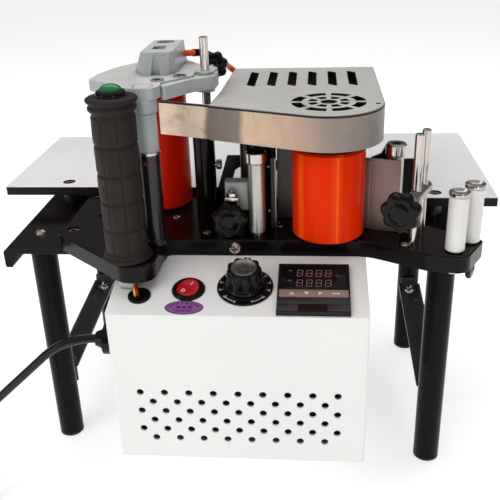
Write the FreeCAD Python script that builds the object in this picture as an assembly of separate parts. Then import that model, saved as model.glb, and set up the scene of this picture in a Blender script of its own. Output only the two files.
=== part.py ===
import FreeCAD, Part
import math
import os

# Bench-top edge banding machine on a four-legged stand. Millimetres, +Z up, the floor is z = 0.
# The origin is under the middle of the tables, and -Y is the operator's side.

V = FreeCAD.Vector
UP = V(0, 0, 1)

# Stand
PLATE_BOTTOM = 189.0
PLATE_TOP = 201.0
TABLE_TOP = 206.0
BOARD_THICK = 7.0
RAIL_SHEET = 4.0
RAIL_OUTER = 171.0
RAIL_INNER = 105.0
RAIL_FRONT = -87.0
RAIL_BACK = 112.0
RAIL_LIP = 15.0
LEG_D = 20.0
LEG_BORE = 16.4
CAP_THICK = 3.0
LEGS = [(-152.0, -57.0), (152.0, -75.0), (-152.0, 95.0), (152.0, 95.0)]
BRACE_REAR_Z = 70.0
BRACE_FRONT_Z = 57.0

# Table screws and spacers
LEFT_TABLE_SCREWS = [(-149.0, 13.5), (-118.0, 13.5)]
RIGHT_TABLE_SCREWS = [(153.5, -12.0), (114.0, -12.0)]
SPACERS = LEFT_TABLE_SCREWS + RIGHT_TABLE_SCREWS + [(-134.0, 70.0), (134.0, 70.0)]
PLATE_SCREWS = [(-118.5, -76.5), (-120.0, -8.0), (126.0, -78.0), (112.0, -58.0)]
CASTING_SCREWS = [(-45.5, -81.0), (-32.5, -68.0)]
FRONT_SCREW = (3.3, 195.0)

# Standard screws: M5 socket head and M5 pan head
SCREW_D = 5.0
SCREW_HOLE_D = 5.1
SOCKET_HEAD_D = 8.5
SOCKET_HEAD_H = 5.0
SOCKET_KEY_D = 4.0
SOCKET_POCKET_D = 9.6
PAN_HEAD_D = 9.4
PAN_HEAD_H = 3.2

# Running fits: the bore is this much wider than its shaft
RUNNING = 0.1

# Handle and head post
HANDLE_XY = (-66.4, -123.0)
GRIP_TOP = 311.0
GRIP_D = 28.5
CORE_D = 20.0
CORE_BORE = 13.0
HANDLE_NUT = 19.0
NUT_GAP = 1.8
BUTTON_D = 15.5
BUTTON_STEM_D = 12.8
BUTTON_TRAVEL = 3.0
POST_XY = (-52.0, -98.0)
POST_D = 15.0
POST_BLACK_TOP = 266.0
CASTING_BOTTOM = 303.5
CASTING_TOP = 311.0
BOSS_BOTTOM = 294.5
HOUSING_TOP = 326.0
ARM_BOTTOM = 301.0
ARM_TOP = 309.8
ROD_XY = (-17.0, -55.0)
ROD_D = 6.0
ROD_BOTTOM = 274.0
ROD_TOP = 335.0
ARM_KNOB_DIRECTION = V(0.04, 1, 0).normalize()
ARM_KNOB_REACH = 33.5
ARM_KNOB_Z = 308.3
ARM_KNOB_R = 10.6

# Rollers
ROLLER_D = 50.0
ROLLER_BOTTOM = 202.5
PRESS_XY = (-63.0, -20.0)
PRESS_TOP = 297.0
PRESS_PIN_D = 12.0
FEED_XY = (69.0, -81.0)
FEED_TOP = 266.0
FEED_SHAFT_D = 12.0
BUSH_WALL = 3.0

# Gear train under the cover, module 1.5
MODULE = 1.5
FEED_TEETH = 44
DRIVE_TEETH = 30
GLUE_TEETH = 20
DRIVE_DIRECTION = 155.3
GLUE_DIRECTION = 106.0
GEAR_BOTTOM = 276.0
GEAR_TOP = 286.0
SHAFT_TOP = 290.0
GEAR_PLATE_BOTTOM = 271.8
GEAR_PLATE_TOP = 274.4
DRIVE_SHAFT_D = 10.0
GLUE_SHAFT_D = 8.0
GLUE_ROLLER_D = 18.6

# Cover
COVER_XY = (68.4, -81.0)
COVER_TOP = 295.6
COVER_BOTTOM = 271.8
COVER_SHEET = 1.5
COVER_END_R = 36.8
COVER_BACK = 33.5
COVER_TIP = (-48.0, -72.0)
COVER_EYE_D = 11.0
GRILLE_OUTER = (18.2, 25.0)
GRILLE_INNER = (8.4, 14.0)
SLOT_HALF = 3.2

# Columns, guides and fence
LEFT_COLUMN_XY = (-23.0, -40.0)
LEFT_COLUMN_D = 16.0
DRIVE_COLUMN_D = 26.0
DRIVE_COLUMN_BORE = 19.0
GUIDES = [(19.4, -85.6), (115.5, -69.0)]
GUIDE_PIN_D = 6.0
GUIDE_D = 11.5
GUIDE_BOTTOM = 204.4
GUIDE_TOP = 255.2
GUIDE_CAP_D = 14.5
GUIDE_CAP_TOP = 263.6
TAPE_RODS = [(126.7, -100.0, 279.0), (133.0, -86.0, 278.0)]
CLAMP_Z = 236.0
CLAMP_KNOB_REACH = 26.0
EDGE_ROLLERS = [(153.2, -109.7), (166.0, -94.4)]
EDGE_ROLLER_D = 13.0
EDGE_ROLLER_TOP = 240.4
EDGE_HEAD_D = 14.0
CUTTER_KNOB_Z = 214.4

# Control box: the top panel rises from the front crease to the plate's underside
BOX_LEFT = -77.5
BOX_RIGHT = 95.5
BOX_FRONT = -155.6
BOX_BOTTOM = 58.0
BOX_CREASE_Z = 174.2
PANEL_BACK = -95.0
BOX_BACK = -30.0
SHEET = 1.5
PANEL_TILT = math.degrees(math.atan2(PLATE_BOTTOM - BOX_CREASE_Z, PANEL_BACK - BOX_FRONT))
VENT_D = 5.0
VENT_PITCH = 16.94
VENT_ROW_PITCH = 7.65
VENT_TOP_Z = 113.0
CONTROLLER_SIZE = 48.0
CONTROLLER_BODY = 44.8
CONTROLLER_LEFT = 35.3
CONTROLLER_S = 1.2
SWITCH_AT = (-25.0, 25.0)
SWITCH_D = 22.6
SWITCH_TURN = -41.0
ROCKER_D = 15.6
ROCKER_WELL_D = 16.8
ROCKER_PIN_D = 2.0
DIAL_AT = (13.2, 28.5)
DIAL_D = 38.0
SOCKET_AT = (-57.5, 18.1)
SOCKET_D = 15.5
GLAND_YZ = (-145.0, 149.0)
CABLE_D = 6.0
PLUG_TOP = 43.0
MOTOR_D = 50.0
MOTOR_BOTTOM = 96.0
MOTOR_OFFSET = -2.0


def box(x0, y0, z0, x1, y1, z1):
    return Part.makeBox(x1 - x0, y1 - y0, z1 - z0, V(x0, y0, z0))


def rod(xy, z0, z1, d):
    return Part.makeCylinder(d / 2, z1 - z0, V(xy[0], xy[1], z0), UP)


def ring(xy, z0, z1, outer, inner):
    return rod(xy, z0, z1, outer).cut(rod(xy, z0 - 1, z1 + 1, inner))


def bar(start, direction, length, d):
    return Part.makeCylinder(d / 2, length, start, direction)


def fuse(shapes):
    joined = shapes[0]
    for shape in shapes[1:]:
        joined = joined.fuse(shape)
    return joined.removeSplitter()


def group(shapes):
    solids = []
    for shape in shapes:
        solids += shape.Solids
    return Part.makeCompound(solids)


def at_angle(xy, degrees, distance):
    turn = math.radians(degrees)
    return (xy[0] + distance * math.cos(turn), xy[1] + distance * math.sin(turn))


def wire_of(corners):
    """A closed wire of straight edges, with an arc at each corner (x, y, radius) whose radius isn't 0."""
    count = len(corners)
    edges = []
    ends = []
    for i in range(count):
        x, y, radius = corners[i]
        here = V(x, y, 0)
        before = V(corners[i - 1][0], corners[i - 1][1], 0).sub(here).normalize()
        after = V(corners[(i + 1) % count][0], corners[(i + 1) % count][1], 0).sub(here).normalize()
        if radius == 0:
            ends.append((here, here))
            continue
        half = before.getAngle(after) / 2
        back_off = radius / math.tan(half)
        first = here.add(before * back_off)
        last = here.add(after * back_off)
        middle_way = before.add(after).normalize()
        middle = here.add(middle_way * (radius / math.sin(half) - radius))
        edges.append((i, Part.Arc(first, middle, last).toShape()))
        ends.append((first, last))
    arcs = dict(edges)
    loop = []
    for i in range(count):
        if i in arcs:
            loop.append(arcs[i])
        start = ends[i][1]
        stop = ends[(i + 1) % count][0]
        if start.distanceToPoint(stop) > 1e-6:
            loop.append(Part.makeLine(start, stop))
    return Part.Wire(loop)


def prism(corners, z0, z1):
    face = Part.Face(wire_of(corners))
    face.translate(V(0, 0, z0))
    return face.extrude(V(0, 0, z1 - z0))


def turned(xy, profile):
    """A solid of revolution about a vertical axis, from its (radius, height) corners."""
    points = [V(r, 0, z) for r, z in profile]
    points.append(points[0])
    solid = Part.Face(Part.makePolygon(points)).revolve(V(0, 0, 0), UP, 360)
    solid.translate(V(xy[0], xy[1], 0))
    return solid


def side_slab(profile, x0, x1):
    """A slab between x0 and x1 from its (y, z) corners."""
    points = [V(x0, y, z) for y, z in profile]
    points.append(points[0])
    return Part.Face(Part.makePolygon(points)).extrude(V(x1 - x0, 0, 0))


def place(shape, origin, direction):
    """Move a shape made around +Z to an origin, with +Z turned to a direction."""
    moved = shape.copy()
    turn = FreeCAD.Placement(origin, FreeCAD.Rotation(UP, direction))
    moved.Placement = turn.multiply(shape.Placement)
    return moved


def on_panel(shape):
    """Move a shape made over the XY plane (y up the slope, z out) to the control panel."""
    moved = shape.copy()
    turn = FreeCAD.Rotation(V(1, 0, 0), PANEL_TILT)
    slope = FreeCAD.Placement(V(0, BOX_FRONT, BOX_CREASE_Z), turn)
    moved.Placement = slope.multiply(shape.Placement)
    return moved


def hexagon(xy, z0, z1, across_flats):
    corner = across_flats / math.sqrt(3)
    points = [at_angle(xy, 60 * i, corner) for i in range(6)]
    return prism([(x, y, 0) for x, y in points], z0, z1)


def socket_screw(xy, head_bottom, length):
    """A socket-head cap screw pointing down."""
    screw = fuse([rod(xy, head_bottom, head_bottom + SOCKET_HEAD_H, SOCKET_HEAD_D),
                  rod(xy, head_bottom - length, head_bottom, SCREW_D)])
    key_top = head_bottom + SOCKET_HEAD_H
    return screw.cut(hexagon(xy, key_top - 2.5, key_top + 1, SOCKET_KEY_D))


def pan_screw(length):
    """A pan-head cross screw at the origin, head up and shank down."""
    dome_r = (PAN_HEAD_D ** 2 / 4 + PAN_HEAD_H ** 2) / (2 * PAN_HEAD_H)
    dome = Part.makeSphere(dome_r, V(0, 0, PAN_HEAD_H - dome_r))
    head = dome.common(rod((0, 0), 0, PAN_HEAD_H + 1, PAN_HEAD_D))
    screw = fuse([head, rod((0, 0), -length, 0.5, SCREW_D)])
    for across, along in ((1.2, 5.0), (5.0, 1.2)):
        screw = screw.cut(box(-across / 2, -along / 2, PAN_HEAD_H - 1.5, across / 2, along / 2, PAN_HEAD_H + 1))
    return screw


def star_knob(radius, thick, lobes, origin, direction, stud):
    """A lobed knob whose face looks along direction, with a stud of (diameter, length) behind it."""
    steps = lobes * 8
    points = []
    for i in range(steps):
        turn = 2 * math.pi * i / steps
        reach = radius - 1.6 + 1.6 * math.cos(lobes * turn)
        points.append(V(reach * math.cos(turn), reach * math.sin(turn), 0))
    curve = Part.BSplineCurve()
    curve.interpolate(points, PeriodicFlag=True)
    body = Part.Face(Part.Wire(curve.toShape())).extrude(V(0, 0, thick))
    dome_r = radius * 3.0
    dome = Part.makeSphere(dome_r, V(0, 0, thick - dome_r))
    body = body.common(dome)
    hub = rod((0, 0), -4, 1, radius)
    pin = rod((0, 0), -4 - stud[1], 0, stud[0])
    return place(fuse([body, hub, pin]), origin, direction)


def involute(angle):
    return math.tan(angle) - angle


def gear(xy, teeth, phase, z0, z1, bore):
    """A spur gear with one tooth centred on the phase angle in degrees."""
    pitch_r = MODULE * teeth / 2
    base_r = pitch_r * math.cos(math.radians(20))
    tip_r = pitch_r + 0.9 * MODULE
    root_r = pitch_r - 1.25 * MODULE
    backlash = 0.12
    half_pitch = math.pi / (2 * teeth) - backlash / pitch_r + involute(math.radians(20))
    first_r = max(base_r, root_r)
    flank = []
    for i in range(4):
        r = first_r + (tip_r - first_r) * i / 3
        flank.append((r, half_pitch - involute(math.acos(base_r / r))))
    if root_r < base_r:
        flank.insert(0, (root_r, half_pitch))
    points = []
    for tooth in range(teeth):
        centre = math.radians(phase) + 2 * math.pi * tooth / teeth
        for r, half in flank:
            points.append(V(r * math.cos(centre - half), r * math.sin(centre - half), z0))
        for r, half in reversed(flank):
            points.append(V(r * math.cos(centre + half), r * math.sin(centre + half), z0))
    points.append(points[0])
    wheel = Part.Face(Part.makePolygon(points)).extrude(V(0, 0, z1 - z0))
    wheel.translate(V(xy[0], xy[1], 0))
    return wheel.cut(rod(xy, z0 - 1, z1 + 1, bore))


def meshed_phase(direction, main_teeth, main_phase, teeth):
    """The phase of a gear that meshes with the main gear, lying in a direction from it."""
    pitch = 360.0 / main_teeth
    offset = (main_phase - direction) % pitch
    return direction + 180 - offset * main_teeth / teeth + 180.0 / teeth


DRIVE_XY = at_angle(FEED_XY, DRIVE_DIRECTION, MODULE * (FEED_TEETH + DRIVE_TEETH) / 2)
GLUE_XY = at_angle(FEED_XY, GLUE_DIRECTION, MODULE * (FEED_TEETH + GLUE_TEETH) / 2)
CLAMP_DIRECTION = V(TAPE_RODS[0][0] - TAPE_RODS[1][0], TAPE_RODS[0][1] - TAPE_RODS[1][1], 0).normalize()


# ---- Stand ----

def side_rails():
    rails = []
    for side in (-1, 1):
        under = PLATE_BOTTOM - RAIL_SHEET
        section = [(RAIL_INNER, under), (RAIL_OUTER - 8.8, under), (RAIL_OUTER - 5.5, PLATE_BOTTOM - RAIL_LIP),
                   (RAIL_OUTER, PLATE_BOTTOM - RAIL_LIP), (RAIL_OUTER, PLATE_BOTTOM), (RAIL_INNER, PLATE_BOTTOM)]
        corners = [V(x, RAIL_FRONT, z) for x, z in section]
        rail = Part.Face(Part.makePolygon(corners + corners[:1])).extrude(V(0, RAIL_BACK - RAIL_FRONT, 0))
        long_edges = [e for e in rail.Edges if abs(e.Length - (RAIL_BACK - RAIL_FRONT)) < 0.01]
        top_corner = [e for e in long_edges
                      if abs(e.CenterOfMass.x - RAIL_OUTER) < 0.01 and abs(e.CenterOfMass.z - PLATE_BOTTOM) < 0.01]
        low_corners = [e for e in long_edges if abs(e.CenterOfMass.z - PLATE_BOTTOM + RAIL_LIP) < 0.01]
        rail = rail.makeFillet(3.5, top_corner)
        rail = rail.makeFillet(1.5, [e for e in rail.Edges for low in low_corners
                                     if e.CenterOfMass.distanceToPoint(low.CenterOfMass) < 0.01])
        if side < 0:
            rail = rail.mirror(V(0, 0, 0), V(1, 0, 0))
        rails.append(rail)
    drills = [rod(xy, PLATE_BOTTOM - 10, PLATE_BOTTOM + 1, SCREW_HOLE_D) for xy in LEGS + PLATE_SCREWS]
    drills += [rod(xy, PLATE_BOTTOM - 10, PLATE_BOTTOM + 1, SCREW_HOLE_D)
               for xy in LEFT_TABLE_SCREWS + RIGHT_TABLE_SCREWS]
    return group([rail.cut(drills) for rail in rails])


def legs():
    tubes = []
    for xy in LEGS:
        top = PLATE_BOTTOM - RAIL_SHEET
        tube = ring(xy, CAP_THICK, top, LEG_D, LEG_BORE)
        plug = ring(xy, top - 16, top, LEG_BORE, SCREW_HOLE_D)
        tube = fuse([tube, plug])
        front_leg = xy[1] < 0
        z = BRACE_FRONT_Z if front_leg else BRACE_REAR_Z
        inward = 1 if front_leg else -1
        drill = bar(V(xy[0], xy[1], z), V(0, inward, 0), LEG_D, SCREW_HOLE_D)
        tubes.append(tube.cut(drill))
    return group(tubes)


def leg_end_caps():
    caps = []
    for xy in LEGS:
        foot = turned(xy, [(0, 0), (LEG_D / 2 - 1, 0), (LEG_D / 2, 1), (LEG_D / 2, CAP_THICK),
                           (LEG_BORE / 2, CAP_THICK), (LEG_BORE / 2 - 0.3, 13), (0, 13)])
        caps.append(foot)
    return group(caps)


def brace(front, rear):
    """A V-channel strut between two legs, with a flat tab bolted to each leg."""
    x = front[0]
    y0 = front[1] + LEG_D / 2
    y1 = rear[1] - LEG_D / 2
    start = V(x, y0, BRACE_FRONT_Z)
    slope = (BRACE_REAR_Z - BRACE_FRONT_Z) / (y1 - y0)
    section = [(-10, 3.4), (-10, 5.2), (-8.4, 5.2), (0, -1.2), (8.4, 5.2), (10, 5.2), (10, 3.4), (0, -4)]
    points = [V(x + a, y0, BRACE_FRONT_Z + b) for a, b in section]
    points.append(points[0])
    strut = Part.Face(Part.makePolygon(points)).extrude(V(0, y1 - y0, BRACE_REAR_Z - BRACE_FRONT_Z))
    tabs = []
    for y, step, z in ((y0, 1.8, BRACE_FRONT_Z), (y1, -1.8, BRACE_REAR_Z)):
        tabs.append(box(x - 8, min(y, y + step), z - 12, x + 8, max(y, y + step), z + 12))
    strut = fuse([strut] + tabs)
    for tab_z, y, inward in ((BRACE_FRONT_Z, y0, 1), (BRACE_REAR_Z, y1, -1)):
        bolt_way = V(0, inward, 0)
        strut = strut.cut(bar(V(x, y - inward, tab_z), bolt_way, 4, SCREW_HOLE_D))
        strut = strut.cut(bar(V(x, y + inward * 1.8, tab_z), bolt_way, 7, PAN_HEAD_D + 1))
    for side in (-5, 5):
        hole_y = y1 - 24
        hole_z = BRACE_FRONT_Z + slope * (hole_y - start.y)
        strut = strut.cut(rod((x + side, hole_y), hole_z - 10, hole_z + 10, 3))
    return strut


def braces():
    return group([brace(LEGS[0], LEGS[2]), brace(LEGS[1], LEGS[3])])


def pan_head_screws():
    screws = []
    for xy in LEGS:
        screws.append(place(pan_screw(16), V(xy[0], xy[1], PLATE_BOTTOM), UP))
        front_leg = xy[1] < 0
        inward = 1 if front_leg else -1
        z = BRACE_FRONT_Z if front_leg else BRACE_REAR_Z
        y = xy[1] + inward * (LEG_D / 2 + 1.8)
        screws.append(place(pan_screw(8), V(xy[0], y, z), V(0, inward, 0)))
    screws.append(place(pan_screw(10), V(FRONT_SCREW[0], PANEL_BACK, FRONT_SCREW[1]), V(0, -1, 0)))
    return group(screws)


def table_board(x0, y0, x1, y1, screws):
    board = box(x0, y0, TABLE_TOP - BOARD_THICK, x1, y1, TABLE_TOP)
    upright = [e for e in board.Edges if abs(e.Length - BOARD_THICK) < 0.01]
    board = board.makeFillet(1.5, upright)
    for xy in screws:
        board = board.cut(rod(xy, TABLE_TOP - SOCKET_HEAD_H - 0.6, TABLE_TOP + 1, 10.5))
        board = board.cut(rod(xy, TABLE_TOP - BOARD_THICK - 1, TABLE_TOP, SCREW_HOLE_D))
    return board


def left_table_board():
    """The board has a round notch that clears the press roller."""
    board = table_board(-200, 0, 2, 150, LEFT_TABLE_SCREWS)
    return board.cut(rod(PRESS_XY, TABLE_TOP - BOARD_THICK - 1, TABLE_TOP + 1, ROLLER_D + 4))


def right_table_board():
    return table_board(4, -24, 200, 155.6, RIGHT_TABLE_SCREWS)


def table_spacers():
    return group([ring(xy, PLATE_BOTTOM, TABLE_TOP - BOARD_THICK, 12, SCREW_HOLE_D) for xy in SPACERS])


def socket_screws():
    screws = []
    for xy in PLATE_SCREWS:
        screws.append(socket_screw(xy, PLATE_TOP - SOCKET_HEAD_H - 1, 12))
    for xy in LEFT_TABLE_SCREWS + RIGHT_TABLE_SCREWS:
        screws.append(socket_screw(xy, TABLE_TOP - SOCKET_HEAD_H - 0.6, 17))
    for xy in CASTING_SCREWS:
        screws.append(socket_screw(xy, CASTING_TOP - 4.2, 3))
    return group(screws)


# ---- Base plate and handle ----

def base_plate():
    corners = [(-126.5, -1.5, 2), (-126.5, -87.2, 5), (-67.5, -140, 13), (-47, -140, 13), (-46, -95, 6),
               (96, -95, 30), (136, -117.5, 14), (160, -121, 10), (176, -92, 3), (139, -65, 3),
               (91, -27.5, 3), (3.5, -27.5, 2), (3.5, -1.5, 2)]
    plate = prism(corners, PLATE_BOTTOM, PLATE_TOP)
    rim = [e for e in plate.Edges if e.BoundBox.ZMin > PLATE_TOP - 0.01]
    plate = plate.makeChamfer(0.8, rim)
    for xy in PLATE_SCREWS:
        plate = plate.cut(rod(xy, PLATE_TOP - SOCKET_HEAD_H - 1, PLATE_TOP + 1, SOCKET_POCKET_D))
        plate = plate.cut(rod(xy, PLATE_BOTTOM - 1, PLATE_TOP, SCREW_HOLE_D))
    plate = plate.cut(rod((-103.9, -49.8), PLATE_TOP - 6, PLATE_TOP + 1, 6))
    for xy, d in ((HANDLE_XY, 10.1), (PRESS_XY, PRESS_PIN_D), (POST_XY, 8.0), (LEFT_COLUMN_XY, 8.0)):
        plate = plate.cut(rod(xy, PLATE_BOTTOM - 1, PLATE_TOP + 1, d))
    plate = plate.cut(rod(FEED_XY, PLATE_BOTTOM - 1, PLATE_TOP + 1, FEED_SHAFT_D + 2 * BUSH_WALL))
    plate = plate.cut(rod(DRIVE_XY, PLATE_BOTTOM - 1, PLATE_TOP + 1, DRIVE_COLUMN_BORE))
    for xy in GUIDES:
        plate = plate.cut(rod(xy, PLATE_TOP - 8, PLATE_TOP + 1, GUIDE_PIN_D))
    for x, y, _ in TAPE_RODS:
        plate = plate.cut(rod((x, y), PLATE_TOP - 10, PLATE_TOP + 1, ROD_D))
    for xy in EDGE_ROLLERS:
        plate = plate.cut(rod(xy, PLATE_BOTTOM - 1, PLATE_TOP + 1, GUIDE_PIN_D))
    hidden_leg = LEGS[1]
    plate = plate.cut(rod(hidden_leg, PLATE_BOTTOM - 1, PLATE_BOTTOM + 4, PAN_HEAD_D + 1.6))
    front_drill = bar(V(FRONT_SCREW[0], PANEL_BACK - 1, FRONT_SCREW[1]), V(0, 1, 0), 13, SCREW_HOLE_D)
    return plate.cut(front_drill)


def handle_core():
    """Steel tube on the plate, with a stud through the plate and its nut."""
    tube = ring(HANDLE_XY, PLATE_TOP, GRIP_TOP - 1.5, CORE_D, CORE_BORE)
    floor = rod(HANDLE_XY, PLATE_TOP, PLATE_TOP + 12, CORE_BORE)
    stud = rod(HANDLE_XY, PLATE_BOTTOM - 4.6, PLATE_TOP, 10)
    under_nut = on_panel(box(-120, -30, -60, 60, 90, NUT_GAP))
    nut = hexagon(HANDLE_XY, PLATE_BOTTOM - 10, PLATE_BOTTOM, HANDLE_NUT).cut(under_nut)
    return fuse([tube, floor, stud, nut])


def handle_grip():
    """Rubber grip: two flanges at the top, shallow grooves down the shaft and a wide foot."""
    r = GRIP_D / 2
    outside = [(16.2, 201.2), (16.8, 202.4), (16.4, 203.8), (15.2, 204.6), (15.6, 206.0), (14.7, 207.2), (r, 208.6)]
    for z in (224.5, 243.3, 261.9, 280.6):
        outside += [(r, z - 1.2), (r - 0.8, z), (r, z + 1.2)]
    outside += [(r, 297.0), (r - 0.5, 298.6), (13.5, 300.2), (13.7, 301.2), (15.4, 302.6), (15.5, 304.2), (14.4, 305.6),
                (14.6, 306.6), (16.3, 308.0), (16.4, 309.2), (14.5, 310.6), (12.0, GRIP_TOP)]
    inside = [(BUTTON_D / 2 + 0.5, GRIP_TOP), (BUTTON_D / 2 + 0.5, GRIP_TOP - 1.5), (CORE_D / 2, GRIP_TOP - 1.5),
              (CORE_D / 2, 201.2)]
    return turned(HANDLE_XY, outside + inside)


def handle_button():
    """Domed push button on a stem that slides in the handle's core."""
    r = BUTTON_D / 2
    seat = GRIP_TOP - 1.5 + BUTTON_TRAVEL + 0.2
    profile = [(0, seat - 26), (BUTTON_STEM_D / 2, seat - 26), (BUTTON_STEM_D / 2, seat), (r, seat),
               (r, seat + 1.0)]
    for degrees in range(15, 90, 15):
        turn = math.radians(degrees)
        profile.append((r * math.cos(turn), seat + 1.0 + 3.6 * math.sin(turn)))
    profile.append((0, seat + 4.6))
    return turned(HANDLE_XY, profile)


# ---- Head: post, casting, arm and gauge rod ----

def head_post():
    """Black sleeve, chrome ring and grey sleeve on one long screw into the plate."""
    lower = turned(POST_XY, [(0, PLATE_TOP), (9, PLATE_TOP), (9, 204), (POST_D / 2, 205.5),
                             (POST_D / 2, POST_BLACK_TOP), (0, POST_BLACK_TOP)])
    washer = rod(POST_XY, POST_BLACK_TOP, POST_BLACK_TOP + 2, POST_D + 1.5)
    upper = turned(POST_XY, [(0, POST_BLACK_TOP + 2), (POST_D / 2, POST_BLACK_TOP + 2),
                             (POST_D / 2, BOSS_BOTTOM - 1.2), (POST_D / 2 - 0.8, BOSS_BOTTOM), (0, BOSS_BOTTOM)])
    spigot = rod(POST_XY, PLATE_BOTTOM + 2, PLATE_TOP, 8.0)
    return fuse([lower, washer, upper, spigot])


def head_housing():
    """The raised block on the casting, tapered on its left and front, with a round and a square opening."""
    base = [(-58.4, -68), (-41, -65), (-37, -57), (-37, -9), (-67.5, -9), (-67.5, -51)]
    top = [(-57.5, -62), (-40, -61.5), (-38.5, -56), (-38.5, -9.5), (-60.5, -9.5), (-60.5, -58)]
    wires = []
    for points, z in ((base, CASTING_TOP - 0.5), (top, HOUSING_TOP)):
        loop = [V(x, y, z) for x, y in points]
        loop.append(loop[0])
        wires.append(Part.makePolygon(loop))
    block = Part.makeLoft(wires, True, True)
    block = block.cut(rod((-50.5, -17.5), HOUSING_TOP - 10, HOUSING_TOP + 1, 13.5))
    block = block.cut(box(-55, -49, HOUSING_TOP - 8, -46, -36, HOUSING_TOP + 1))
    flute = Part.makeCone(3.6, 1.6, 20, V(-49.5, -67.0, CASTING_TOP - 2), V(0, 0.22, 1))
    return block.cut(flute)


def head_casting():
    corners = [(-94.3, -75.5, 3), (-60, -105, 8), (-44, -107, 7), (-41, -96, 0), (-42, -86.5, 0), (-23.6, -66, 0),
               (-24.5, -46.8, 0), (-9, -46.8, 2), (-11, -38, 4), (-26.5, -24, 6), (-37, -8.5, 2), (-67.5, -8.5, 14),
               (-84, -32, 30), (-92, -55, 30)]
    plate = prism(corners, CASTING_BOTTOM, CASTING_TOP)
    boss = rod(POST_XY, BOSS_BOTTOM, CASTING_TOP, POST_D + 2)
    casting = fuse([plate, boss, head_housing()])
    for xy in CASTING_SCREWS:
        casting = casting.cut(rod(xy, CASTING_TOP - 4.2, CASTING_TOP + 1, SOCKET_POCKET_D))
        casting = casting.cut(rod(xy, BOSS_BOTTOM, CASTING_TOP, SCREW_HOLE_D))
    casting = casting.cut(ring(POST_XY, CASTING_TOP - 0.6, CASTING_TOP + 1, 14, 12.6))
    return casting.cut(bar(V(ROD_XY[0], ROD_XY[1], ARM_KNOB_Z), ARM_KNOB_DIRECTION, 40, SCREW_HOLE_D))


def head_arm():
    """The bar in front of the casting that ends in the gauge rod's clamp eye."""
    bar_part = prism([(-40.8, -98, 2), (-24, -73.5, 6), (-9.5, -64, 6), (-8.5, -47, 2), (-24.3, -47, 0),
                      (-23.4, -66.2, 0), (-41.8, -86.8, 0)], ARM_BOTTOM, ARM_TOP)
    eye = rod(ROD_XY, ARM_BOTTOM - 3, ARM_TOP + 2.2, 13)
    arm = fuse([bar_part, eye])
    arm = arm.cut(rod(ROD_XY, ARM_BOTTOM - 5, ARM_TOP + 5, ROD_D + RUNNING))
    stud_hole = bar(V(ROD_XY[0], ROD_XY[1], ARM_KNOB_Z), ARM_KNOB_DIRECTION, 20, SCREW_HOLE_D)
    post_room = rod(POST_XY, ARM_BOTTOM - 1, ARM_TOP + 1, POST_D + 2)
    return arm.cut(stud_hole).cut(post_room)


def gauge_rod():
    return turned(ROD_XY, [(0, ROD_BOTTOM), (ROD_D / 2 - 0.6, ROD_BOTTOM), (ROD_D / 2, ROD_BOTTOM + 0.6),
                           (ROD_D / 2, ROD_TOP - 0.6), (ROD_D / 2 - 0.6, ROD_TOP), (0, ROD_TOP)])


def arm_knob():
    """Star knob whose stud clamps the gauge rod in the arm's eye."""
    start = V(ROD_XY[0], ROD_XY[1], ARM_KNOB_Z).add(ARM_KNOB_DIRECTION * ARM_KNOB_REACH)
    return star_knob(ARM_KNOB_R, 9.0, 7, start, ARM_KNOB_DIRECTION, (5.0, ARM_KNOB_REACH - 4 - ROD_D / 2 - 0.2))


def tube_along(points, d):
    """A round cable or hose through a chain of points."""
    curve = Part.BSplineCurve()
    curve.interpolate([V(*p) for p in points])
    path = Part.Wire(curve.toShape())
    start = curve.value(curve.FirstParameter)
    way = curve.tangent(curve.FirstParameter)[0]
    circle = Part.Wire(Part.makeCircle(d / 2, start, way))
    return path.makePipeShell([circle], True, True)


def heater_lead():
    """Silicone-sheathed lead from the casting's housing, behind the cover, to the glue pot's heater."""
    return tube_along([(-37.0, -21, 318), (-31, -19, 317.9), (-24, -7.5, 315.5), (-16, 3.5, 309), (-12, 17, 303),
                       (-10, 33, 297), (-2, 41, 286), (7, 36, 262), (9, 18, 244), (12, 0, 234),
                       (17, -11, 230.6), (25.2, -16, 230)], 4.6)


# ---- Rollers and drive ----

def press_roller():
    sleeve = turned(PRESS_XY, [(PRESS_PIN_D / 2 + RUNNING / 2, ROLLER_BOTTOM), (ROLLER_D / 2 - 1.5, ROLLER_BOTTOM),
                               (ROLLER_D / 2, ROLLER_BOTTOM + 1.5), (ROLLER_D / 2, PRESS_TOP - 1.5),
                               (ROLLER_D / 2 - 1.5, PRESS_TOP), (PRESS_PIN_D / 2 + RUNNING / 2, PRESS_TOP)])
    return sleeve


def press_roller_pin():
    pin = rod(PRESS_XY, PLATE_BOTTOM + 1, CASTING_BOTTOM, PRESS_PIN_D)
    collar = rod(PRESS_XY, PLATE_TOP, ROLLER_BOTTOM - 0.3, 18)
    return fuse([pin, collar])


def feed_roller():
    return turned(FEED_XY, [(FEED_SHAFT_D / 2, ROLLER_BOTTOM), (ROLLER_D / 2 - 1.5, ROLLER_BOTTOM),
                            (ROLLER_D / 2, ROLLER_BOTTOM + 1.5), (ROLLER_D / 2, FEED_TOP - 1.5),
                            (ROLLER_D / 2 - 1.5, FEED_TOP), (FEED_SHAFT_D / 2, FEED_TOP)])


def feed_roller_shaft():
    return rod(FEED_XY, PLATE_BOTTOM + 1, SHAFT_TOP - 0.8, FEED_SHAFT_D)


def feed_gear():
    wheel = gear(FEED_XY, FEED_TEETH, DRIVE_DIRECTION, GEAR_BOTTOM, GEAR_TOP, FEED_SHAFT_D)
    for i in range(6):
        wheel = wheel.cut(rod(at_angle(FEED_XY, 60 * i, 20), GEAR_BOTTOM - 1, GEAR_TOP + 1, 9))
    return wheel


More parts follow.
